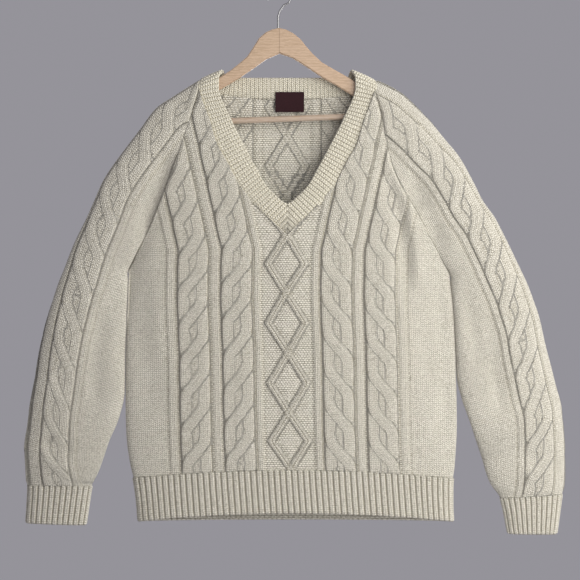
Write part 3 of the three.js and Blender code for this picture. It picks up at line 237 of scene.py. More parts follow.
class Sleeve:
    """A sleeve as a map from cloth (u round from the outer fold, t down it) to space."""

    def __init__(self, stations, turn, twist, underarm, cuff, flip):
        rows = [row if len(row) == 7 else row + row[3:] for row in stations]
        self.col = [column(rows, k) for k in range(1, 7)]
        self.turn = column(turn, 1)
        self.half = column(turn, 2)
        self.twist = column(twist, 1)
        self.underarm, self.cuff, self.flip = underarm, cuff, flip
        self.last = stations[-1][0]

    def section(self, hand, t):
        ox, oz, fx, fz, bx, bz = [c(t) for c in self.col]
        own = (t >= self.underarm) | (hand > 0)
        sx, sz = np.where(own, fx, bx), np.where(own, fz, bz)
        end = np.minimum(1, self.turn(t))
        xi = -np.cos(np.arccos(-end)[:, None] * np.linspace(0, 1, 91))
        xi[:, -1] = end
        f = (xi + 1) / (end[:, None] + 1)
        reach = np.minimum(1, np.abs(xi)) ** SLEEVE_POWER
        y = self.half(t)[:, None] * (1 - reach) ** (1 / SLEEVE_POWER)
        x = lerp(ox[:, None], sx[:, None], f)
        z = -lerp(oz[:, None], sz[:, None], f)
        points = np.stack([x, -hand * y, z], 2)
        return points, walked(points)

    def width(self, hand, t):
        return self.section(hand, np.atleast_1d(t))[1][:, -1]

    def point(self, u, t):
        out = np.empty(u.shape + (3,))
        for hand in (-1, 1):
            points, walk = self.section(hand, t)
            for i in range(len(t)):
                pick = u[i] < 0 if hand < 0 else u[i] >= 0
                if pick.any():
                    s = np.abs(u[i][pick])
                    out[i, pick] = np.stack([np.interp(s, walk[i], points[i, :, k]) for k in range(3)], 1)
        return out


left_sleeve = Sleeve(LEFT_STATIONS, LEFT_ROUND, LEFT_TWIST, 359, 750, -1)
right_sleeve = Sleeve(RIGHT_STATIONS, RIGHT_ROUND, RIGHT_TWIST, 352, 773, 1)
centre_x = column(BODY_CENTRE, 1)
half_depth = column(BODY_CENTRE, 2)
side_left = column(BODY_LEFT, 1)
side_right = column(BODY_RIGHT, 1)


class Face:
    """Front (-1) or back (+1) of the body as a map from cloth (q across, t down) to space."""

    def __init__(self, face):
        self.face = face
        self.seam = {}
        for hand, sleeve in ((-1, left_sleeve), (1, right_sleeve)):
            t = np.linspace(0, sleeve.underarm, 61)
            self.seam[hand] = sleeve.section(-face, t)[0][:, -1]
        self.full = {}
        for hand in (-1, 1):
            self.full[hand] = self.section(hand, np.array([UNDERARM[hand]]))[1][0, -1]

    def drop(self, m, t):
        w = smooth(LEAN_FROM, HEM_TOP, t)
        f = m / HALF_WIDE
        return SAG * f * f * w if self.face < 0 else (SAG - 2 + 2 * f * f) * w

    def lean(self, t):
        return LEAN * np.maximum(0, LEAN_FROM - t) if self.face < 0 else 0 * t

    def section(self, hand, t):
        xc, b = centre_x(t), half_depth(t)
        seam = self.seam[hand]
        above = t < UNDERARM[hand]
        xs = np.interp(t, -seam[:, 2], seam[:, 0])
        ys = np.minimum(b * 0.999, np.abs(np.interp(t, -seam[:, 2], seam[:, 1])))
        side = (side_left if hand < 0 else side_right)(t + self.drop(HALF_WIDE, t))
        xe = np.where(above, xs, side)
        ye = np.where(above, ys, 0)
        end = (1 - (ye / b) ** BODY_POWER) ** (1 / BODY_POWER)
        xi = np.sin(np.arcsin(end)[:, None] * np.linspace(0, 1, 91))
        xi[:, -1] = end
        y = b[:, None] * (1 - xi**BODY_POWER) ** (1 / BODY_POWER)
        x = (xe - xc)[:, None] * xi / end[:, None]
        points = np.stack([x, self.face * y], 2)
        return points, walked(points)

    def width(self, hand, t):
        t = np.atleast_1d(np.asarray(t, float))
        long = self.section(hand, t)[1][:, -1] - self.lean(t)
        return np.where(t < UNDERARM[hand], long, self.full[hand])

    def point(self, q, t):
        out = np.empty(q.shape + (3,))
        xc, lean = centre_x(t), self.lean(t)
        for hand in (-1, 1):
            points, walk = self.section(hand, t)
            for i in range(len(t)):
                pick = q[i] < 0 if hand < 0 else q[i] >= 0
                if not pick.any():
                    continue
                m = np.abs(q[i][pick])
                s = m + lean[i] * np.minimum(1, m / LEAN_WIDE)
                if t[i] >= UNDERARM[hand]:
                    f = (m - PLAIN_FROM) / (self.full[hand] - PLAIN_FROM)
                    s = np.where(m < PLAIN_FROM, s, lerp(PLAIN_FROM, walk[i, -1], f))
                out[i, pick, 0] = xc[i] + np.interp(s, walk[i], points[i, :, 0])
                out[i, pick, 1] = np.interp(s, walk[i], points[i, :, 1])
                out[i, pick, 2] = -t[i] - self.drop(m, t[i])
        return out

    def across(self, hand, t, x):
        """Cloth distance from the centre line to where a row reaches x."""
        points, walk = self.section(hand, np.array([float(t)]))
        s = np.interp(abs(x - centre_x(t)), np.abs(points[0, :, 0]), walk[0])
        k = float(self.lean(np.array(float(t))))
        return s - k if s >= LEAN_WIDE + k else s / (1 + k / LEAN_WIDE)


front_face = Face(-1)
back_face = Face(1)


def outward(point, q, t, lo, hi, flip):
    """Unit normals of a map on a grid, by small steps that stay inside lo..hi."""
    d = 0.8
    a, b = (point(np.clip(q + s, lo[:, None], hi[:, None]), t) for s in (-d, d))
    c, e = (point(np.clip(q, lo[:, None], hi[:, None]), t + s) for s in (-d, d))
    return unit(np.cross(b - a, e - c) * flip)


class Half:
    """One half of the neckband, walked from the point of the V to the middle of the back."""

    def __init__(self, hand):
        rows = []
        for k, row in enumerate(BAND):
            flipped = [2 * NECK_X - row[0], row[1], row[2]]
            outer = list(row[:3]) if hand < 0 else BAND_RIGHT.get(k, flipped)
            inner = [row[3] if hand < 0 else 2 * NECK_X - row[3], row[4], row[5]]
            rows.append(list(outer) + inner)
        rows = np.array(rows, float)
        long = [0.0]
        for k in range(1, len(rows)):
            step = np.linalg.norm(rows[k][:3] - rows[k - 1][:3])
            inner = np.linalg.norm(rows[k][3:] - rows[k - 1][3:])
            long.append(long[-1] + (step if k < 3 else (step + inner) / 2))
        self.hand, self.rows, self.total, self.mitre = hand, rows, long[-1], long[1]
        self.turned = (long[8], long[9])
        table = [[a, *row] for a, row in zip(long, rows)]
        self.col = [column(table, k) for k in range(1, 7)]

    def at(self, s):
        s = np.asarray(s, float)
        r = np.stack([c(s) for c in self.col], -1)
        v = (s / self.mitre)[..., None]
        r = np.where(v <= 1, lerp(self.rows[0], self.rows[1], v), r)
        near = (s < self.turned[1]) & (s > self.mitre)
        for i in np.argwhere(near).ravel():
            fit = 1 - smooth(self.turned[0], self.turned[1], s[i])
            t = np.array([r[i, 1]])
            points, walk = front_face.section(self.hand, t)
            x = np.abs(r[i, 0] - centre_x(t))[0]
            y = np.interp(x, np.abs(points[0, :, 0]), points[0, :, 1])
            shift = (y - r[i, 2]) * fit
            r[i, 2] += shift
            r[i, 5] += shift
        return r


halves = {-1: Half(-1), 1: Half(1)}


# Relief. A strand of the plait over three repeats: repeats up, across from the middle, raise.
STRAND = [
    [-1.15, 15.6, 3.6], [-0.8, 15.4, 3.6], [-0.55, 13.6, 3.1], [-0.42, 8.5, 2.6], [-0.28, 0.5, 3.1],
    [-0.13, -8.0, 2.6], [0.0, -13.4, 3.1], [0.15, -15.2, 3.5], [0.45, -15.8, 3.8], [0.8, -14.4, 4.1],
    [1.0, -7.8, 4.5], [1.15, 0.0, 4.7], [1.32, 7.8, 4.5], [1.5, 13.8, 4.1], [1.85, 15.6, 3.7],
    [2.2, 15.4, 3.6], [2.45, 13.6, 3.1], [2.58, 8.5, 2.6], [2.72, 0.5, 3.1],
]
strand_x = column(STRAND, 1)
strand_z = column(STRAND, 2)
STRAND_HALF = 10.2
rise = np.linspace(-1, 3, 401)
strand_long = np.concatenate([[0], np.cumsum(np.hypot(np.diff(strand_x(rise)), np.diff(rise) * REPEAT))])


def plait(u, s):
    """Height, stitch coordinates, purl and painted shade lines of a plait, u mm across it and s repeats up
    it.
    """
    f = s - np.floor(s)
    best = np.full(u.shape, -9.0)
    inside = np.zeros(u.shape)
    edge = np.zeros(u.shape)
    su, sv = u / STITCH_WIDE, s * REPEAT / STITCH_HIGH
    for k in (-1, 0, 1, 2):
        p = f + k
        x = strand_x(p)
        slope = (strand_x(p + 0.02) - strand_x(p - 0.02)) / (0.04 * REPEAT)
        d = (u - x) / np.sqrt(1 + slope**2)
        round_ = np.clip(1 - np.abs(d / STRAND_HALF) ** 3.4, 0, 1) ** 0.6
        h = np.where(np.abs(d) < STRAND_HALF, (strand_z(p) + 0.4) * (0.5 + 0.5 * round_) - 0.9, -9.0)
        h = np.where((k == -1) & (p < -0.6), -9.0, h)
        h = np.where((k == 2) & (p > 2.75), -9.0, h)
        top = h > best
        inside = np.where(top, STRAND_HALF - np.abs(d), inside)
        edge = np.where(top, smooth(3.15, 3.4, strand_z(p)), edge)
        shows = top & (strand_z(p) > 3.2)
        su = np.where(shows, d / STITCH_WIDE, su)
        sv = np.where(shows, (np.interp(p, rise, strand_long) + (np.floor(s) - k) * 7.3) / STITCH_HIGH, sv)
        best = np.where(top, h, best)
    # Between the strands the cloth lies only a little lower, at the sides it falls to the gutter.
    middle = smooth(0, 6, 20.5 - np.abs(u))
    ground = -0.9 + 4.2 * middle
    bare = best < ground
    # Along the edge of each upper strand: a small dip in the height and a line of painted shade; the bare
    # middle gets a faint painted shade.
    line = edge * np.exp(-((inside / 1.5) ** 2))
    seam = np.where(bare, 0.1 * middle, line)
    return np.where(bare, ground, best - 1.3 * line), su, sv, np.where(bare, 1 - middle, 0.0), seam


def plateau(v, a, b, edge):
    return smooth(a, a + edge, v) * (1 - smooth(b - edge, b, v))


def ridge(v, c, w):
    return np.exp(-((v - c) / w) ** 2)


def stripe(v, a, b, high):
    """A raised stripe of knit columns with a fuller column along each edge."""
    edge = ridge(v, a + 1.9, 1.4) + ridge(v, b - 1.9, 1.4)
    return high * plateau(v, a, b, 1.6) + 0.55 * edge * plateau(v, a, b, 0.8)


class Fabric:
    """Relief of one piece on its grid: height, stitch coordinates, how far it shows purl, and painted shade
    along its furrows.
    """

    def __init__(self, q, t):
        self.h = np.zeros(q.shape)
        self.su = q / STITCH_WIDE
        self.sv = -t / STITCH_HIGH
        self.purl = np.zeros(q.shape)
        self.seam = np.zeros(q.shape)

    def put(self, where, h=None, su=None, sv=None, purl=None, seam=None):
        for name, value in (("h", h), ("su", su), ("sv", sv), ("purl", purl), ("seam", seam)):
            if value is not None:
                setattr(self, name, np.where(where, value, getattr(self, name)))


DIAMOND_HALF = 30.0
DIAMOND_FRONT = [312.0, 409.8, 503.5, 602.0, 700.0, 791.0, 882.0]
DIAMOND_BACK = [55.0, 151.0, 247.0, 345.0, 443.0, 541.0, 639.0, 737.0, 833.0, 929.0]
# Cables: middle from the centre line, hand, depth of a lower tip, repeat.
FRONT_CABLES = [
    (-81.5, 1, 484.0, 56.7), (-152.5, 1, 492.3, 56.1), (81.5, -1, 486.3, 57.7), (152.5, -1, 498.8, 55.5),
]
BACK_CABLES = [(row[0], row[1], 487.0, 56.6) for row in FRONT_CABLES]


def diamonds(fabric, q, d, crossings):
    at = np.clip(np.searchsorted(crossings, d) - 1, 0, len(crossings) - 2)
    c = np.array(crossings)
    f = np.clip((d - c[at]) / (c[at + 1] - c[at]), 0, 1)
    zig = 1 - np.abs(2 * f - 1)
    zig = np.where(zig > 0.9, 0.9 + 0.1 * np.sin((zig - 0.9) * 5 * math.pi) * 0.8, zig)
    side = np.where(at % 2 == 0, 1, -1)
    lean = 0.85
    ground = -0.75 + 1.5 * smooth(3, 22, DIAMOND_HALF * zig - np.abs(q)) * (np.abs(q) < DIAMOND_HALF * zig)
    best = ground
    purl = np.ones(q.shape)
    su = q / STITCH_WIDE
    sv = -d / STITCH_HIGH
    seam = np.zeros(q.shape)
    for hand in (1, -1):
        # Below a crossing one band turns right, above it it came from the left.
        x = hand * side * DIAMOND_HALF * zig
        v = (q - x) * lean
        over = np.where((hand * side * (f - 0.5) > 0), 0.5, 0.0) * ridge(zig, 0, 0.25)
        body = np.clip(1 - (np.abs(np.abs(v) - 2.9) / 3.0) ** 2, 0, 1) ** 0.6
        h = np.where(np.abs(v) < 5.9, 2.3 * body - 0.3 + over, -9)
        top = h > best
        best = np.where(top, h, best)
        purl = np.where(top, 0, purl)
        su = np.where(top, v / 5.8, su)
        sv = np.where(top, -d / 2.9, sv)
        # Painted shade: a thin line down the middle of each band and a line along its edge.
        seam = np.where(top & (np.abs(v) < 1.2), 0.8 * (1 - np.abs(v) / 1.2), seam)
        seam = np.maximum(seam, 0.7 * ridge(np.abs(v), 6.3, 0.9))
    fabric.put(np.abs(q) < 41, best, su, sv, purl, seam)


def gutters(fabric, v, places):
    for centre, half in places:
        w = np.clip(1 - (np.abs(v - centre) / (half + 0.8)) ** 2, 0, 1)
        fabric.h = fabric.h - 0.5 * w
        fabric.purl = np.maximum(fabric.purl, (np.abs(v - centre) < half) * 1.0)
        # Painted shade along the gutter.
        fabric.seam = np.maximum(fabric.seam, 0.5 * w)


def add_plaits(fabric, q, down, cables, half):
    for centre, hand, tip, repeat in cables:
        u = (q - centre) * hand
        fabric.put(np.abs(u) < half, *plait(u, (tip - down) / repeat))


def body_relief(q, d, cables, crossings):
    f = Fabric(q, d)
    m = np.abs(q)
    for a, b in ((42, 53), (110.5, 122), (182.5, 195)):
        f.put((m > a) & (m < b), h=stripe(m, a, b, 0.9))
    f.put((m > 199), h=0.12 * np.sin(m * 0.21))
    add_plaits(f, q, d, cables, 25.2)
    diamonds(f, q, d, crossings)
    gutters(f, m, ((40.3, 1.7), (54.8, 1.8), (108.2, 1.8), (124.8, 1.9), (180.2, 1.9), (197.2, 1.3)))
    return f


def sleeve_relief(q, t, tips):
    f = Fabric(q, t)
    m = np.abs(q)
    f.put(m < 10.3, h=stripe(m, -10.5, 10.2, 0.8))
    f.put((m > 61.5) & (m < 72), h=stripe(m, 61.5, 72, 0.9))
    add_plaits(f, q, t, [(35.5, -1, *tips), (-35.5, 1, *tips)], 23.6)
    gutters(f, m, ((11.6, 1.3), (59.9, 1.5), (73.8, 1.6)))
    return f


def blur(a, n, axis):
    """Mean over a run of 2n+1 grid lines."""
    pad = [(0, 0), (0, 0)]
    pad[axis] = (n + 1, n)
    c = np.cumsum(np.pad(a, pad, mode="edge"), axis=axis)
    k = 2 * n + 1
    return (np.take(c, range(k, c.shape[axis]), axis) - np.take(c, range(0, c.shape[axis] - k), axis)) / k


# Soft creases: route in x and depth, half width, depth of the trough.
CREASES = {
    "knit_front": [
        ([[-189, 346], [-206, 378], [-224, 416], [-240, 458], [-246, 520], [-247, 580]], 15, -5.0),
        ([[-216, 430], [-222, 500], [-221, 570], [-212, 650], [-208, 720]], 22, -2.6),
        ([[-196, 470], [-199, 560], [-190, 640]], 16, 1.6),
        ([[168, 288], [180, 325], [194, 368], [203, 412], [206, 460], [204, 530]], 14, -6.6),
        ([[206, 340], [216, 390], [223, 440], [226, 500]], 12, 3.4),
        ([[250, 430], [258, 480], [264, 550], [271, 650], [272, 790]], 15, -3.6),
        ([[228, 470], [236, 540], [243, 620], [247, 700]], 15, -2.2),
        ([[-60, 560], [-30, 600], [10, 615], [40, 608]], 26, -1.5),
        ([[-150, 740], [-90, 752], [-20, 748], [60, 758], [150, 745]], 24, -1.6),
        ([[30, 430], [38, 500], [32, 560]], 26, 1.4),
    ],
    "knit_back": [
        ([[-186, 350], [-205, 390], [-226, 440], [-240, 500], [-244, 590]], 16, -4.4),
        ([[196, 352], [210, 400], [224, 450], [240, 520], [252, 610]], 16, -4.4),
        ([[-200, 470], [-206, 560], [-198, 660], [-190, 740]], 22, -2.4),
        ([[226, 520], [236, 600], [238, 690], [230, 770]], 20, -2.6),
        ([[-120, 250], [-60, 275], [10, 284], [80, 276], [140, 256]], 26, -2.2),
        ([[-140, 700], [-60, 730], [20, 738], [110, 724], [180, 704]], 26, -2.0),
        ([[-90, 520], [-40, 545], [30, 540], [95, 512]], 24, 1.8),
    ],
    "knit_sleeve_left": [
        ([[-238, 452], [-262, 500], [-278, 560], [-288, 620]], 16, -3.4),
        ([[-290, 520], [-299, 590], [-298, 650], [-304, 700]], 13, -3.6),
        ([[-256, 500], [-260, 570], [-262, 640]], 9, -3.0),
        ([[-352, 520], [-336, 548], [-316, 560]], 14, -2.0),
        ([[-372, 640], [-346, 662], [-318, 668]], 15, -2.6),
        ([[-392, 742], [-364, 758], [-330, 752]], 14, -3.0),
        ([[-390, 775], [-366, 786], [-336, 784]], 11, 2.0),
        ([[-176, 268], [-192, 318], [-210, 374], [-232, 432]], 15, -8.0),
    ],
    "knit_sleeve_right": [
        ([[288, 470], [306, 520], [324, 590], [338, 650]], 16, -3.4),
        ([[336, 520], [350, 590], [356, 660], [366, 720]], 14, -3.4),
        ([[412, 540], [392, 566], [372, 572]], 14, -2.0),
        ([[438, 660], [408, 682], [372, 680]], 15, -2.6),
        ([[454, 762], [424, 778], [388, 770]], 14, -3.0),
        ([[452, 796], [426, 806], [394, 802]], 11, 2.0),
        ([[212, 300], [232, 350], [254, 400], [270, 446]], 14, -4.5),
    ],
}


def creases(name, p):
    """Push along the face's outward depth, in mm, for soft troughs and swells."""
    out = np.zeros(p.shape[:2])
    x, d = p[..., 0], -p[..., 2]
    for route, wide, deep in CREASES.get(name, []):
        route = np.array(route, float)
        best = np.full(x.shape, 1e9)
        along = np.zeros(x.shape)
        total = 0.0
        for a, b in zip(route[:-1], route[1:]):
            e = b - a
            long = np.hypot(*e)
            f = np.clip(((x - a[0]) * e[0] + (d - a[1]) * e[1]) / long**2, 0, 1)
            away = np.hypot(x - a[0] - f * e[0], d - a[1] - f * e[1])
            closer = away < best
            along = np.where(closer, total + f * long, along)
            best = np.where(closer, away, best)
            total += long
        fade = np.clip(np.minimum(along, total - along) / (0.22 * total), 0, 1)
        uneven = 1 + 0.18 * np.sin(along / 23.0 + wide)
        out += deep * fade * uneven * np.exp(-((best / wide) ** 2))
    return out


# Meshes.
def placed(name, data):
    """A new object in the scene."""
    o = bpy.data.objects.new(name, data)
    bpy.context.scene.collection.objects.link(o)
    return o


def cloth_object(name, mesh):
    mesh.polygons.foreach_set("use_smooth", [True] * len(mesh.polygons))
    return placed(name, mesh)


def mark(mesh, key, value):
    """Stores one number for each point of a mesh."""
    data = mesh.attributes.new(key, "FLOAT", "POINT").data
    data.foreach_set("value", np.ascontiguousarray(value, np.float32).ravel())


class Layer:
    """A clamped grid of cloth: rows down t, columns across q, one or two spans to a row."""

    def __init__(self, t, sides):
        # Each side is (columns, lowest q, highest q, live rows); ids join where ends say so.
        self.t = t
        q, ids, live, start = [], [], [], 0
        self.breaks = []
        for cols, lo, hi, alive in sides:
            near = 0.3 * (cols[1] - cols[0])
            g = np.clip(cols[None, :] + 0 * lo[:, None], lo[:, None], hi[:, None])
            at_lo = g - lo[:, None] < near
            at_hi = (hi[:, None] - g < near) & ~at_lo
            g = np.where(at_lo, lo[:, None], np.where(at_hi, hi[:, None], g))
            base = np.arange(len(t))[:, None] * (len(cols) + 2) + start
            i = base + 2 + np.arange(len(cols))[None, :]
            i = np.where(at_lo, base, np.where(at_hi, base + 1, i))
            start = int(base.max()) + len(cols) + 2
            q.append(g)
            ids.append(i)
            live.append(np.repeat(alive[:, None], len(cols), 1))
            self.breaks.append(sum(a.shape[1] for a in q) - 1)
        self.q = np.concatenate(q, 1)
        self.ids = np.concatenate(ids, 1)
        self.live = np.concatenate(live, 1)

    def join(self, a, b):
        """Gives the vertices of two columns of ids one id, row by row."""
        swap = dict(zip(b.tolist(), a.tolist()))
        flat = self.ids.ravel()
        self.ids = np.array([swap.get(v, v) for v in flat.tolist()]).reshape(self.ids.shape)


def close_shell(name, layer, outer, inner, normal, relief, shade, coarse):
    """A closed thin shell: fine outer layer, inner layer with cells merged where coarse says so, walls."""
    rows, cols = layer.ids.shape
    ids = layer.ids
    cells = []
    state = np.zeros((rows - 1, cols - 1), int)
    for i in range(rows - 1):
        for j in range(cols - 1):
            if j in layer.breaks or not (layer.live[i, j] and layer.live[i + 1, j]):
                continue
            ring = [(i, j), (i + 1, j), (i + 1, j + 1), (i, j + 1)]
            v = [int(ids[c]) for c in ring]
            keep = [k for k in range(4) if v[k] != v[k - 1]]
            if len(keep) < 3 or len({v[k] for k in keep}) < 3:
                continue
            cells.append(([v[k] for k in keep], [ring[k] for k in keep]))
            state[i, j] = 2 if len(keep) == 4 else 1
    a = np.array([outer[c] for c in cells[len(cells) // 2][1]])
    n = np.cross(a[1] - a[0], a[2] - a[0])
    flip = np.dot(n, normal[cells[len(cells) // 2][1][0]]) < 0
    where = {}
    points, faces, corners = [], [], []
    place = {}
    for v, ring in cells:
        for one, c in zip(v, ring):
            if one not in place:
                place[one] = len(points)
                where[one] = c
                points.append(outer[c])
    edges = {}
    for v, ring in cells:
        if flip:
            v, ring = v[::-1], ring[::-1]
        faces.append([place[k] for k in v])
        corners.append(ring)
        for k in range(len(v)):
            e = (v[k - 1], v[k])
            if (e[1], e[0]) in edges:
                del edges[(e[1], e[0])]
            else:
                edges[e] = (ring[k - 1], ring[k])
    below = {}

    def under(one, c):
        if one not in below:
            below[one] = len(points)
            points.append(inner[c])
        return below[one]

    merged = np.zeros(((rows - 1) // 2 + 2, (cols - 1) // 2 + 2), bool)
    for bi in range((rows - 1) // 2):
        for bj in range((cols - 1) // 2):
            block = state[2 * bi:2 * bi + 2, 2 * bj:2 * bj + 2]
            full = (block == 2).all() and len(np.unique(ids[2 * bi:2 * bi + 3, 2 * bj:2 * bj + 3])) == 9
            around = state[max(0, 2 * bi - 1):2 * bi + 3, max(0, 2 * bj - 1):2 * bj + 3]
            edge = bi == 0 or bj == 0 or 2 * bi + 3 >= rows or 2 * bj + 3 >= cols
            merged[bi, bj] = full and not edge and (around == 2).all() and coarse[2 * bi, 2 * bj]
    for v, ring in cells:
        i = min(c[0] for c in ring)
        j = min(c[1] for c in ring)
        if merged[i // 2, j // 2] and 2 * (i // 2) + 1 < rows and 2 * (j // 2) + 1 < cols:
            continue
        order = v if flip else v[::-1]
        loop = ring if flip else ring[::-1]
        faces.append([under(one, c) for one, c in zip(order, loop)])
        corners.append(loop)
    for bi, bj in np.argwhere(merged):
        i, j = 2 * bi, 2 * bj
        loop = [(i, j)]
        if not merged[bi, bj - 1]:
            loop.append((i + 1, j))
        loop.append((i + 2, j))
        if not merged[bi + 1, bj]:
            loop.append((i + 2, j + 1))
        loop.append((i + 2, j + 2))
        if not merged[bi, bj + 1]:
            loop.append((i + 1, j + 2))
        loop.append((i, j + 2))
        if not merged[bi - 1, bj]:
            loop.append((i, j + 1))
        if not flip:
            loop = loop[::-1]
        faces.append([under(int(ids[c]), c) for c in loop])
        corners.append(loop)
    for (one, two), (c, d) in edges.items():
        faces.append([place[two], place[one], under(one, c), under(two, d)])
        corners.append([d, c, c, d])
    mesh = bpy.data.meshes.new(name)
    mesh.from_pydata([tuple(p) for p in (np.array(points) * MM).tolist()], [], faces)
    layer_uv = mesh.uv_layers.new(name="stitch")
    flat = np.array([c for ring in corners for c in ring])
    data = np.stack([relief.su, relief.sv], -1)[flat[:, 0], flat[:, 1]]
    layer_uv.data.foreach_set("uv", np.ascontiguousarray(data, np.float32).ravel())
    spot = np.zeros((len(points), 2), int)
    for one, k in [*place.items(), *below.items()]:
        spot[k] = where[one]
    for key, value in (("purl", relief.purl), ("shade", shade)):
        out = value[spot[:, 0], spot[:, 1]].copy()
        if key == "purl":
            out[list(below.values())] = 1.0
        mark(mesh, key, out)
    mesh.validate()
    mesh.update()
    return cloth_object(name, mesh)


def cavity(h, dq, dt):
    """How deep a point lies below its surroundings, 0 to 1, for the painted shade in hollows."""
    a = max(1, round(4.0 / dq))
    b = max(1, round(4.0 / dt))
    around = blur(blur(blur(blur(h, a, 1), b, 0), max(1, a // 2), 1), max(1, b // 2), 0)
    return np.clip((around - h) / 2.2, 0, 1)


def cloth(name, layer, map_point, lo, hi, sign, relief, inner_relief, extra_normal=None, coarse=None):
    """Turns a clamped grid and its relief into a shell."""
    base = map_point(layer.q, layer.t)
    n = outward(map_point, layer.q, layer.t, lo, hi, sign)
    if extra_normal is not None:
        n = extra_normal(n)
    away = creases(name, base)[..., None] * np.array([0, 1.0, 0]) * np.sign(n[..., 1:2])
    outer = base + n * relief.h[..., None] + away
    inner = base + n * (inner_relief - INNER_SET)[..., None] + away
    # Painted shade: darker in hollows of the relief and along its furrow lines, stored for the knit colour.
    shade = np.clip(0.5 * cavity(relief.h, 2.0, layer.t[1] - layer.t[0]) + 0.8 * relief.seam, 0, 1)
    if coarse is None:
        coarse = np.ones(layer.q.shape, bool)
    return close_shell(name, layer, outer, inner, n, relief, shade, coarse)


DQ = 2.2
DT = 2.1
BOTTOM = HEM_TOP - RIB_GAP


def panel(name, face, cables, crossings):
    hands = (-1, 1)
    t = np.arange(BOTTOM, 150, -DT)[::-1]
    neck, wide = {}, {}
    for hand in hands:
        limit = face.width(hand, t) - 0.03 - 0.5 * (1 - smooth(176, 240, t)) * (t < 240)
        wide[hand] = np.minimum(limit, face.full[hand] - SIDE_GAP)
        r = halves[hand].at(np.linspace(0, halves[hand].total, 241))
        if face.face < 0:
            f = r[(r[:, 2] < -8)]
            depth, m = [], []
            for k in range(len(f)):
                if not depth or f[k, 1] < depth[-1]:
                    depth.append(f[k, 1])
                    m.append(face.across(hand, max(f[k, 1], 176), f[k, 0]) if k else 0.0)
            depth, m = np.array(depth[::-1]), np.array(m[::-1])
            inset = np.interp(t - 2.0, depth, m)
            neck[hand] = np.where(t - 2.0 > 408.5, 0.0, np.maximum(0, inset - 2.2))
        else:
            f = r[r[:, 2] > 8]
            m = np.array([face.across(hand, max(a, 176), x) if (x - NECK_X) * hand > 0 else 0.0 for x, a in
                          zip(f[:, 0], f[:, 1])])
            order = np.argsort(f[:, 1])
            neck[hand] = np.where(t > 182, 0.0, np.interp(t + 1.5, f[order, 1], m[order]))
    alive = {h: wide[h] - neck[h] > 0.4 for h in hands}
    for h in hands:
        # Rows above the highest joined run are dropped.
        dead = np.argwhere(~alive[h]).ravel()
        if len(dead):
            alive[h][:dead[-1] + 1] = False
    first = min(np.argmax(alive[h]) for h in hands)
    t = t[first:]
    for h in hands:
        wide[h], neck[h], alive[h] = wide[h][first:], neck[h][first:], alive[h][first:]
    sides = []
    for h in hands:
        reach = face.full[h] - SIDE_GAP
        cols = np.linspace(0, reach, int(round(reach / DQ)) + 1)
        if h < 0:
            sides.append((-cols[::-1], -np.maximum(wide[h], neck[h] + 0.2), -neck[h], alive[h]))
        else:
            sides.append((cols, neck[h], np.maximum(wide[h], neck[h] + 0.2), alive[h]))
    layer = Layer(t, sides)
    k = sides[0][0].shape[0]
    both = (neck[-1] <= 0) & (neck[1] <= 0)
    layer.join(layer.ids[both, k - 1], layer.ids[both, k])
    base = face.point(layer.q, layer.t)
    relief = body_relief(layer.q, -base[..., 2], cables, crossings)
    lo, hi = -face.width(-1, t), face.width(1, t)
    top = layer.t[:, None] + 0 * layer.q
    near = np.minimum(layer.q - lo[:, None], hi[:, None] - layer.q)
    relief.h = relief.h * np.where(near < 5.5, smooth(0, 5, near), 1)
    relief.h = relief.h * (1 - 0.6 * smooth(BOTTOM - 9, BOTTOM, top))
    seen = top < 300
    inner = np.where(seen, -0.45 * relief.h, 0)
    coarse = ~seen if face.face > 0 else np.ones(layer.q.shape, bool)
    o = cloth(name, layer, face.point, lo, hi, face.face * 1.0, relief, inner, coarse=coarse)
    area = sum(float(np.sum((wide[h] - neck[h])[alive[h]])) * DT for h in hands)
    return o, area, (wide[-1] + wide[1]).max(), t[-1] - t[0]


def sleeve_piece(name, sleeve, tips):
    top, bottom = 0.2, sleeve.cuff - RIB_GAP
    t = np.linspace(top, bottom, int(round((bottom - top) / DT)) + 1)
    c = sleeve.twist(t)
    hi = sleeve.width(1, t) - c
    lo = -sleeve.width(-1, t) - c
    cols = np.linspace(lo.min(), hi.max(), int(round((hi.max() - lo.min()) / DQ)) + 1)
    layer = Layer(t, [(cols, lo, hi, np.ones(len(t), bool))])
    tube = t >= sleeve.underarm
    layer.join(layer.ids[tube, 0], layer.ids[tube, -1])
    relief = sleeve_relief(layer.q, t[:, None] + 0 * layer.q, tips)
    # The relief fades towards the inner seam so that both edges meet.
    near = np.minimum(layer.q - lo[:, None], hi[:, None] - layer.q)
    relief.h = relief.h * smooth(0, 5, near)
    relief.h = relief.h * (1 - 0.6 * smooth(bottom - 9, bottom, t))[:, None]
    beside = smooth(sleeve.underarm, sleeve.underarm + 12, t) * (1 - smooth(560, 610, t))
    relief.h = relief.h + 2.1 * beside[:, None] * (1 - smooth(8, 42, near))

    def point(q, tt):
        return sleeve.point(q + sleeve.twist(tt)[:, None], tt)

    def joined(n):
        mean = unit(n[:, 0] + n[:, -1])
        at_edge = (near < 0.01) & tube[:, None]
        return np.where(at_edge[..., None], mean[:, None, :], n)

    o = cloth(name, layer, point, lo, hi, sleeve.flip, relief, 0 * relief.h, extra_normal=joined)
    area = float(np.sum(hi - lo)) * (t[1] - t[0])
    return o, area, (hi - lo).max(), bottom - top


def rib_wave(phase):
    """Height of ribs, 0 to 1: a rounded knit ridge and a narrower furrow."""
    d = np.abs(phase - np.floor(phase) - 0.5) * 2
    return np.clip(1 - np.clip((d - 0.15) / 0.72, 0, 1) ** 2.6, 0, 1) ** 0.7


def rib_fabric(q, t, pitch, depth, bottom):
    f = Fabric(q, t)
    h = rib_wave(q / pitch)
    end = smooth(0, 3, bottom - t)
    f.h = depth * (h - 0.35) * (0.35 + 0.65 * end) - 1.1 * (1 - end)
    f.su = q / pitch / RIB_STITCH
    # Painted shade in the furrows between ribs.
    f.seam = 0.62 * (1 - h)
    return f


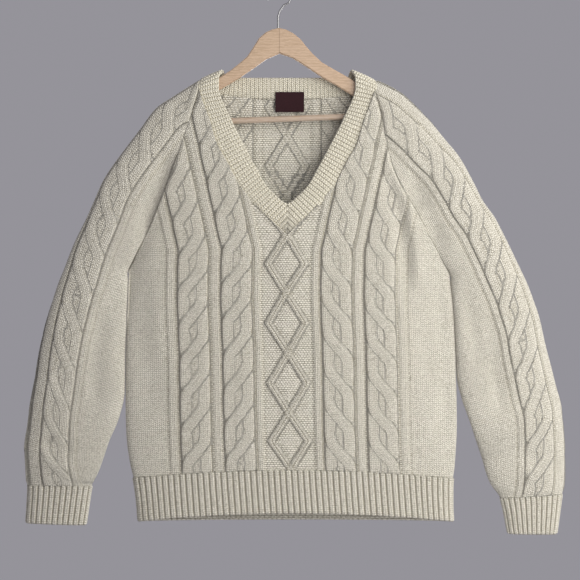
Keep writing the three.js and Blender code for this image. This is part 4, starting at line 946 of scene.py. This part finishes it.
def hem_piece(name, face):
    t = np.linspace(HEM_TOP + RIB_GAP, HEM_BOTTOM, 25)
    lo = np.full(len(t), -face.full[-1] + SIDE_GAP)
    hi = np.full(len(t), face.full[1] - SIDE_GAP)
    ribs = round((hi[0] - lo[0]) / HEM_PITCH)
    cols = np.linspace(lo[0], hi[0], ribs * TO_A_RIB + 1)
    layer = Layer(t, [(cols, lo, hi, np.ones(len(t), bool))])
    tt = t[:, None] + 0 * layer.q
    pitch = (hi[0] - lo[0]) / ribs
    relief = rib_fabric(layer.q - lo[0] + pitch / 2, tt, pitch, HEM_RIB, HEM_BOTTOM)
    o = cloth(name, layer, face.point, lo - 0.1, hi + 0.1, face.face * 1.0, relief, 0 * relief.h,
              coarse=np.zeros(layer.q.shape, bool))
    return o, float((hi[0] - lo[0]) * (t[-1] - t[0])), hi[0] - lo[0], t[-1] - t[0]


def cuff_piece(name, sleeve):
    t = np.linspace(sleeve.cuff + RIB_GAP, sleeve.last, 23)
    wide = sleeve.width(1, t)
    ribs = round(2 * wide[0] / CUFF_PITCH)
    cols = np.linspace(-1, 1, ribs * TO_A_RIB + 1)
    one = np.ones(len(t))
    layer = Layer(t, [(cols, -one, one, np.ones(len(t), bool))])
    layer.join(layer.ids[:, 0], layer.ids[:, -1])
    tt = t[:, None] + 0 * layer.q
    around = (layer.q + 1) * ribs / 2 * CUFF_PITCH
    relief = rib_fabric(around, tt, CUFF_PITCH, CUFF_RIB, sleeve.last)

    def point(q, at):
        return sleeve.point(q * sleeve.width(1, at)[:, None], at)

    base = point(layer.q, t)
    a, b = (point(np.clip(layer.q + s, -1, 1), t) for s in (-0.007, 0.007))
    c, e = (point(layer.q, t + s) for s in (-0.8, 0.8))
    n = unit(np.cross(b - a, e - c) * sleeve.flip)
    n[:, 0] = n[:, -1] = unit(n[:, 0] + n[:, -1])
    outer = base + n * relief.h[..., None]
    inner = base + n * (0.3 * relief.h - 2.6)[..., None]
    # Painted shade: darker in hollows of the ribs and along their furrows.
    shade = np.clip(0.9 * cavity(relief.h, 1.15, t[1] - t[0]) + 0.5 * relief.seam, 0, 1)
    o = close_shell(name, layer, outer, inner, n, relief, shade, np.zeros(layer.q.shape, bool))
    return o, float(2 * np.mean(wide) * (t[-1] - t[0])), 2 * wide[0], t[-1] - t[0]


def in_space(rows, first):
    """Points from rows of the band's table, which hold x, depth and y."""
    return rows[:, [first, first + 2, first + 1]] * [1, 1, -1]


def neckband_piece():
    """The doubled rib band: front leaf, folded inner edge, back leaf, as a ring of loops."""
    loops = []
    across = np.concatenate([[-0.11], np.linspace(0, 1, 12), [1.03, 1.04, 1.03], np.linspace(1, 0, 7)])
    layer_of = np.concatenate([np.ones(13), [0.72, 0.5, 0.28], np.zeros(7)])
    walked_v = np.concatenate([np.linspace(0, 31, 13), [32.5, 34, 35.5], np.linspace(37, 68, 7)])
    for hand in (-1, 1):
        half = halves[hand]
        ribs = round(half.total / BAND_PITCH)
        s = np.linspace(0.02, half.total, ribs * TO_A_RIB + 1)
        r = half.at(s)
        ahead, behind = half.at(np.minimum(half.total, s + 1.5)), half.at(np.maximum(0.01, s - 1.5))
        outer, inner = in_space(r, 0), in_space(r, 3)
        along = in_space(ahead - behind, 0) + in_space(ahead - behind, 3)
        n = unit(np.cross(along, inner - outer) * hand)
        flat = np.clip(1 - s / (half.mitre * 1.3), 0, 1)[:, None]
        n = n * (1 - flat) + np.array([0, -1.0, 0]) * flat
        n[-1] = [0, 1, 0]
        n = unit(n)
        on_mitre = s <= half.mitre + 1e-6
        inner[on_mitre, 0] = NECK_X
        inner[on_mitre, 1] = -17.9
        wave = rib_wave(s / half.total * ribs)
        rows = []
        for v, side in zip(across, layer_of):
            p = outer + (inner - outer) * min(v, 1.0)
            crown = 0.9 * math.sin(math.pi * min(1, max(0, v))) + (0.25 if v >= 0 else -1.7)
            edge = smooth(0, 0.07, v) if side == 1 else 1
            up = (1.5 * (wave - 0.45) * edge + crown) * side
            down = -(BAND_THICK - 0.3) * (1 - side) - 0.5 * (wave - 0.5) * (1 - side)
            out = p + n * (up + down)[:, None]
            if v > 1:
                lip = (inner - outer) / np.maximum(8, np.linalg.norm(inner - outer, axis=1, keepdims=True))
                out = out + lip * (v - 1) * 34 * np.where(on_mitre, 0, 1)[:, None]
            rows.append(out)
        rows = np.array(rows)
        # The mitre: everything beyond the centre line is held on it.
        limit = np.maximum(rows[..., 0] * hand, NECK_X * hand) * hand
        rows[..., 0] = np.where(on_mitre[None, :], limit, rows[..., 0])
        if hand < 0:
            rows = rows[:, ::-1]
        tally = s / half.total * ribs
        loops.append((rows, tally if hand > 0 else -tally[::-1], wave if hand > 0 else wave[::-1]))
    left, right = loops
    # Left runs from the middle of the back to the V, right from the V to the middle of the back.
    ring = np.concatenate([left[0], right[0][:, 1:-1]], 1)
    ring = np.transpose(ring, (1, 0, 2))
    turn = ring.shape[0]
    count = ring.shape[1]
    s = np.concatenate([left[1], right[1][1:-1]])
    wave = np.concatenate([left[2], right[2][1:-1]])
    points = ring.reshape(-1, 3) * MM
    faces, uv = [], []
    for i in range(turn):
        k = (i + 1) % turn
        a, b = s[i], s[k] if k else s[i] + 0.125
        for j in range(count):
            m = (j + 1) % count
            v0, v1 = walked_v[j], walked_v[m] if m else walked_v[j] + 4
            faces.append((i * count + j, i * count + m, k * count + m, k * count + j))
            corners = ((a, v0), (a, v1), (b, v1), (b, v0))
            uv += [(u / RIB_STITCH, v / STITCH_HIGH) for u, v in corners]
    mesh = bpy.data.meshes.new("band")
    mesh.from_pydata([tuple(p) for p in points.tolist()], [], faces)
    layer = mesh.uv_layers.new(name="stitch")
    layer.data.foreach_set("uv", np.array(uv, np.float32).ravel())
    # Painted shade in the furrows between ribs.
    shade = np.repeat(0.6 * (1 - wave)[:, None], count, 1)
    mark(mesh, "purl", 0 * shade)
    mark(mesh, "shade", shade)
    mesh.update()
    bm = bmesh.new()
    bm.from_mesh(mesh)
    bmesh.ops.remove_doubles(bm, verts=bm.verts, dist=2e-5)
    bmesh.ops.recalc_face_normals(bm, faces=bm.faces)
    bm.to_mesh(mesh)
    bm.free()
    return cloth_object("knit_neckband", mesh)


# Materials.
class Maths:
    """Short hand for shader nodes: k.multiply(a, b) makes a math node of kind MULTIPLY, and so on."""

    def __init__(self, tree):
        self.tree = tree

    def __getattr__(self, kind):
        return lambda *values, clamp=False: self.op(kind.upper(), values, clamp)

    def op(self, kind, values, clamp):
        node = self.tree.nodes.new("ShaderNodeMath")
        node.operation = kind
        node.use_clamp = clamp
        for socket, value in zip(node.inputs, values):
            self.put(socket, value)
        return node.outputs[0]

    def put(self, socket, value):
        if isinstance(value, (int, float, tuple)):
            socket.default_value = value
        else:
            self.tree.links.new(value, socket)

    def feed(self, node, values):
        """Sets or links the named inputs of a node."""
        for name, value in values.items():
            self.put(node.inputs[name], value)

    def new(self, kind, values=None):
        node = self.tree.nodes.new("ShaderNode" + kind)
        self.feed(node, values or {})
        return node

    def coord(self):
        return self.new("TexCoord").outputs["Object"]

    def split(self, vector):
        return list(self.new("SeparateXYZ", {"Vector": vector}).outputs)

    def attribute(self, name):
        node = self.new("Attribute")
        node.attribute_name = name
        return node.outputs["Fac"]

    def mix(self, f, a, b):
        return self.multiply_add(self.subtract(b, a), f, a)

    def hump(self, v, power=2.0):
        """0 at both ends of 0 to 1 and 1 in its middle."""
        off = self.absolute(self.subtract(self.multiply(v, 2.0), 1.0))
        return self.subtract(1.0, self.power(off, power))

    def blend(self, f, a, b):
        node = self.new("Mix")
        node.data_type = "RGBA"
        self.put(node.inputs["Factor"], f)
        for name, value in (("A", a), ("B", b)):
            self.put([s for s in node.inputs if s.name == name and s.type == "RGBA"][0], value)
        return [s for s in node.outputs if s.type == "RGBA"][0]

    def noise(self, vector, scale, detail=3.0, rough=0.55, stretch=None):
        if stretch:
            vector = self.new("Mapping", {"Vector": vector, "Scale": stretch}).outputs[0]
        values = {"Vector": vector, "Scale": scale, "Detail": detail, "Roughness": rough}
        return self.new("TexNoise", values).outputs[0]

    def bump(self, height, strength, distance):
        return self.new("Bump", {"Height": height, "Strength": strength, "Distance": distance}).outputs[0]


def nodes_of(name):
    m = bpy.data.materials.new(name)
    m.use_nodes = True
    m.node_tree.nodes.clear()
    k = Maths(m.node_tree)
    shader = k.new("BsdfPrincipled")
    k.feed(k.new("OutputMaterial"), {"Surface": shader.outputs[0]})
    return m, k, shader


def knit_material(name, light, dark, shade_colour):
    m, k, shader = nodes_of(name)
    uv = k.new("UVMap")
    uv.uv_map = "stitch"
    su, sv = k.split(uv.outputs[0])[:2]
    coord = k.coord()
    purl, shade = k.attribute("purl"), k.attribute("shade")
    # Knit side: two legs to a column that rise outward from its middle.
    wobble = k.multiply(k.subtract(k.noise(coord, 260.0), 0.5), 0.35)
    across = k.fract(k.multiply_add(su, RIB_STITCH, k.multiply(wobble, 0.3)))
    side = k.multiply(k.absolute(k.subtract(across, 0.5)), 2.0)
    row = k.fract(k.add(k.subtract(sv, k.multiply(side, 0.55)), wobble))
    round_ = k.multiply_add(k.hump(side), 0.65, 0.35)
    plain = k.multiply(round_, k.multiply_add(k.hump(row, 1.3), 0.9, 0.1))
    # Purl side: staggered bumps across the columns.
    bump_u = k.hump(k.fract(k.add(su, k.multiply(k.floor(sv), 0.5))))
    bump_v = k.hump(k.fract(k.add(sv, wobble)))
    pearl = k.multiply(k.multiply_add(bump_u, 0.6, 0.4), bump_v)
    fuzz = k.multiply(k.noise(coord, 2400.0, 4.0, 0.7), 0.18)
    height = k.add(k.mix(purl, plain, pearl), fuzz)
    # Colour: cream yarn with soft heather and age, and painted shade: darker between stitches, in the
    # furrows, in dotted rows along the purl gutters and a little over purl.
    patch = k.multiply_add(k.noise(coord, 9.0, 4.0), 0.9, -0.1, clamp=True)
    low = k.subtract(1.0, height, clamp=True)
    dots = k.mix(purl, 1.0, k.multiply_add(bump_v, -2.0, 2.0))
    lift = k.multiply_add(shade, 0.4, 0.85)
    deep = k.multiply_add(low, lift, k.multiply(k.multiply(shade, 0.6), dots), clamp=True)
    grain = k.multiply_add(k.noise(coord, 430.0, 2.0, 0.6), 1.8, -0.9)
    deep = k.add(deep, k.multiply_add(purl, 0.07, grain), clamp=True)
    flecks = k.multiply(k.greater_than(k.noise(coord, 1500.0, 2.0), 0.66), 0.10)
    # Painted shade: deep pulls the yarn colour towards the shade colour.
    base = k.blend(deep, k.blend(patch, light, dark), shade_colour)
    k.feed(shader, {
        "Base Color": k.blend(flecks, base, FLECK), "Normal": k.bump(height, 1.0, 0.0016),
        "Roughness": k.multiply_add(low, 0.1, 0.82), "Sheen Weight": 0.25, "Sheen Roughness": 0.55,
        "Specular IOR Level": 0.22,
    })
    return m


def wood_material(name, dark, light, seam_x=None):
    m, k, shader = nodes_of(name)
    coord = k.coord()
    warp = k.noise(coord, 9.0, 3.0, 0.5, (1.0, 3.0, 4.0))
    rings = k.new("TexWave", {
        "Vector": coord, "Scale": 70.0, "Distortion": 5.0, "Detail": 3.0, "Detail Scale": 1.4,
    })
    rings.wave_type = "BANDS"
    rings.bands_direction = "Z"
    wave = rings.outputs["Fac"]
    pores = k.noise(coord, 420.0, 3.0, 0.6, (0.12, 1.0, 1.0))
    base = k.blend(k.multiply_add(wave, 0.5, k.multiply(warp, 0.5)), dark, light)
    base = k.blend(k.multiply(k.greater_than(pores, 0.56), 0.4), base, PORE)
    if seam_x is not None:
        off = k.absolute(k.subtract(k.split(coord)[0], seam_x))
        line = k.subtract(1.0, k.divide(off, 0.0007), clamp=True)
        base = k.blend(k.multiply(line, 0.75), base, GLUE_LINE)
    k.feed(shader, {
        "Base Color": base, "Normal": k.bump(k.add(pores, k.multiply(wave, 0.3)), 0.2, 0.0004),
        "Roughness": k.multiply_add(pores, 0.2, 0.3), "Coat Weight": 0.3, "Coat Roughness": 0.25,
    })
    return m


def wire_material(name):
    m, k, shader = nodes_of(name)
    coord = k.coord()
    drawn = k.noise(coord, 900.0, 3.0, 0.6)
    k.feed(shader, {
        "Base Color": k.blend(k.noise(coord, 60.0, 3.0), *STEEL), "Metallic": 1.0,
        "Roughness": k.multiply_add(drawn, 0.22, 0.30), "Normal": k.bump(drawn, 0.08, 0.0002),
    })
    return m


def label_material(name):
    m, k, shader = nodes_of(name)
    coord = k.coord()
    x, _, z = k.split(coord)
    warp = k.sine(k.multiply(x, 9000.0))
    weft = k.sine(k.multiply(z, 7000.0))
    weave = k.multiply_add(k.multiply(warp, weft), 0.5, 0.5)
    cloud = k.multiply(k.noise(coord, 120.0, 3.0), 0.35)
    k.feed(shader, {
        "Base Color": k.blend(cloud, k.blend(weave, MAROON[0], MAROON[1]), MAROON[2]),
        "Roughness": k.multiply_add(weave, 0.2, 0.65), "Normal": k.bump(weave, 0.3, 0.0002),
        "Specular IOR Level": 0.2,
    })
    return m


FLECK = (0.95, 0.93, 0.86, 1)
PORE = (0.36, 0.24, 0.14, 1)
GLUE_LINE = (0.16, 0.09, 0.05, 1)
STEEL = ((0.26, 0.26, 0.27, 1), (0.36, 0.355, 0.35, 1))
MAROON = ((0.010, 0.004, 0.005, 1), (0.030, 0.007, 0.010, 1), (0.045, 0.008, 0.012, 1))
CREAM = (0.86, 0.825, 0.72, 1)
CREAM_DEEP = (0.80, 0.76, 0.645, 1)
# Painted shade colours that the knit darkens towards between stitches and in furrows; the band's is the
# third colour of its call.
FURROW_SHADE = (0.33, 0.30, 0.22, 1)
knit = knit_material("knit", CREAM, CREAM_DEEP, FURROW_SHADE)
knit_band = knit_material("knit_band", (0.90, 0.86, 0.72, 1), (0.86, 0.81, 0.66, 1), (0.46, 0.42, 0.31, 1))


def dress(o, node, material):
    o.data.materials.append(material)
    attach(o, "root")
    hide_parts(node)


# Pieces: name, node, what carries it, how it is made and from what.
SHEETS = (
    ("knit_front", "front", "hanger_wood", panel, (front_face, FRONT_CABLES, DIAMOND_FRONT)),
    ("knit_back", "back", "hanger_wood", panel, (back_face, BACK_CABLES, DIAMOND_BACK)),
    ("knit_sleeve_left", "sleeve_left", "hanger_wood", sleeve_piece, (left_sleeve, (588.6, 62.0))),
    ("knit_sleeve_right", "sleeve_right", "hanger_wood", sleeve_piece, (right_sleeve, (241.5, 61.3))),
    ("rib_hem_front", "hem_front", "knit_front", hem_piece, (front_face,)),
    ("rib_hem_back", "hem_back", "knit_back", hem_piece, (back_face,)),
    ("rib_cuff_left", "cuff_left", "knit_sleeve_left", cuff_piece, (left_sleeve,)),
    ("rib_cuff_right", "cuff_right", "knit_sleeve_right", cuff_piece, (right_sleeve,)),
)
for name, node, carrier, make, source in SHEETS:
    o, area, wide, long = make(name, *source)
    dress(o, node, knit)
band = neckband_piece()
dress(band, "neckband", knit_band)

HARD = {
    "hanger_wood": wood_material("wood", (0.45, 0.315, 0.21, 1), (0.57, 0.415, 0.28, 1), seam_x=0.0005),
    "hanger_bar": wood_material("bar_wood", (0.43, 0.33, 0.25, 1), (0.53, 0.42, 0.32, 1)),
    "hanger_hook": wire_material("wire"),
    "label": label_material("label"),
}
for node, material in HARD.items():
    slots = frame["nodes"][node].data.materials
    slots.clear()
    slots.append(material)

# Floor, light and camera.
FLOOR_DEPTH, FLOOR_HALF = 1.25, 2
mesh = bpy.data.meshes.new("floor")
corners = [(x * FLOOR_HALF, y * FLOOR_HALF, -FLOOR_DEPTH) for x, y in ((-1, -1), (1, -1), (1, 1), (-1, 1))]
mesh.from_pydata(corners, [], [(0, 1, 2, 3)])
floor = placed("floor", mesh)
pale, k, shader = nodes_of("floor")
k.feed(shader, {"Base Color": (0.6, 0.6, 0.62, 1), "Roughness": 0.9})
floor.data.materials.append(pale)

world = bpy.data.worlds.new("studio")
world.use_nodes = True
sky = world.node_tree.nodes["Background"].inputs
sky[0].default_value = (0.40, 0.39, 0.43, 1)
sky[1].default_value = 0.75
bpy.context.scene.world = world


def area_light(name, place, aim, size, power, colour):
    light = bpy.data.lights.new(name, "AREA")
    light.shape = "DISK"
    light.size = size
    light.energy = power
    light.color = colour
    o = placed(name, light)
    o.location = place
    o.rotation_euler = (Vector(aim) - Vector(place)).to_track_quat("-Z", "Y").to_euler()


area_light("key", (1.15, -1.05, -0.1), (0.25, 0, -0.45), 2.2, 38, (1.0, 0.985, 0.955))
area_light("fill", (-0.9, -2.8, 0.7), (0, 0, -0.5), 2.2, 3, (0.96, 0.97, 1.0))
area_light("rear", (0.4, 2.8, 0.5), (0, 0, -0.5), 2.0, 40, (0.97, 0.98, 1.0))

camera = bpy.data.cameras.new("camera")
SENSOR, AWAY, FIELD = 36, 4.0, 0.9454
camera.sensor_width = SENSOR
camera.lens = SENSOR * AWAY / FIELD
camera.clip_end = 50
view = placed("camera", camera)
view.location = (0.0179, -4.018, -0.4994)
view.rotation_euler = (math.radians(90), 0, 0)
bpy.context.scene.camera = view
bpy.context.scene.view_settings.view_transform = "Standard"

bpy.context.view_layer.update()
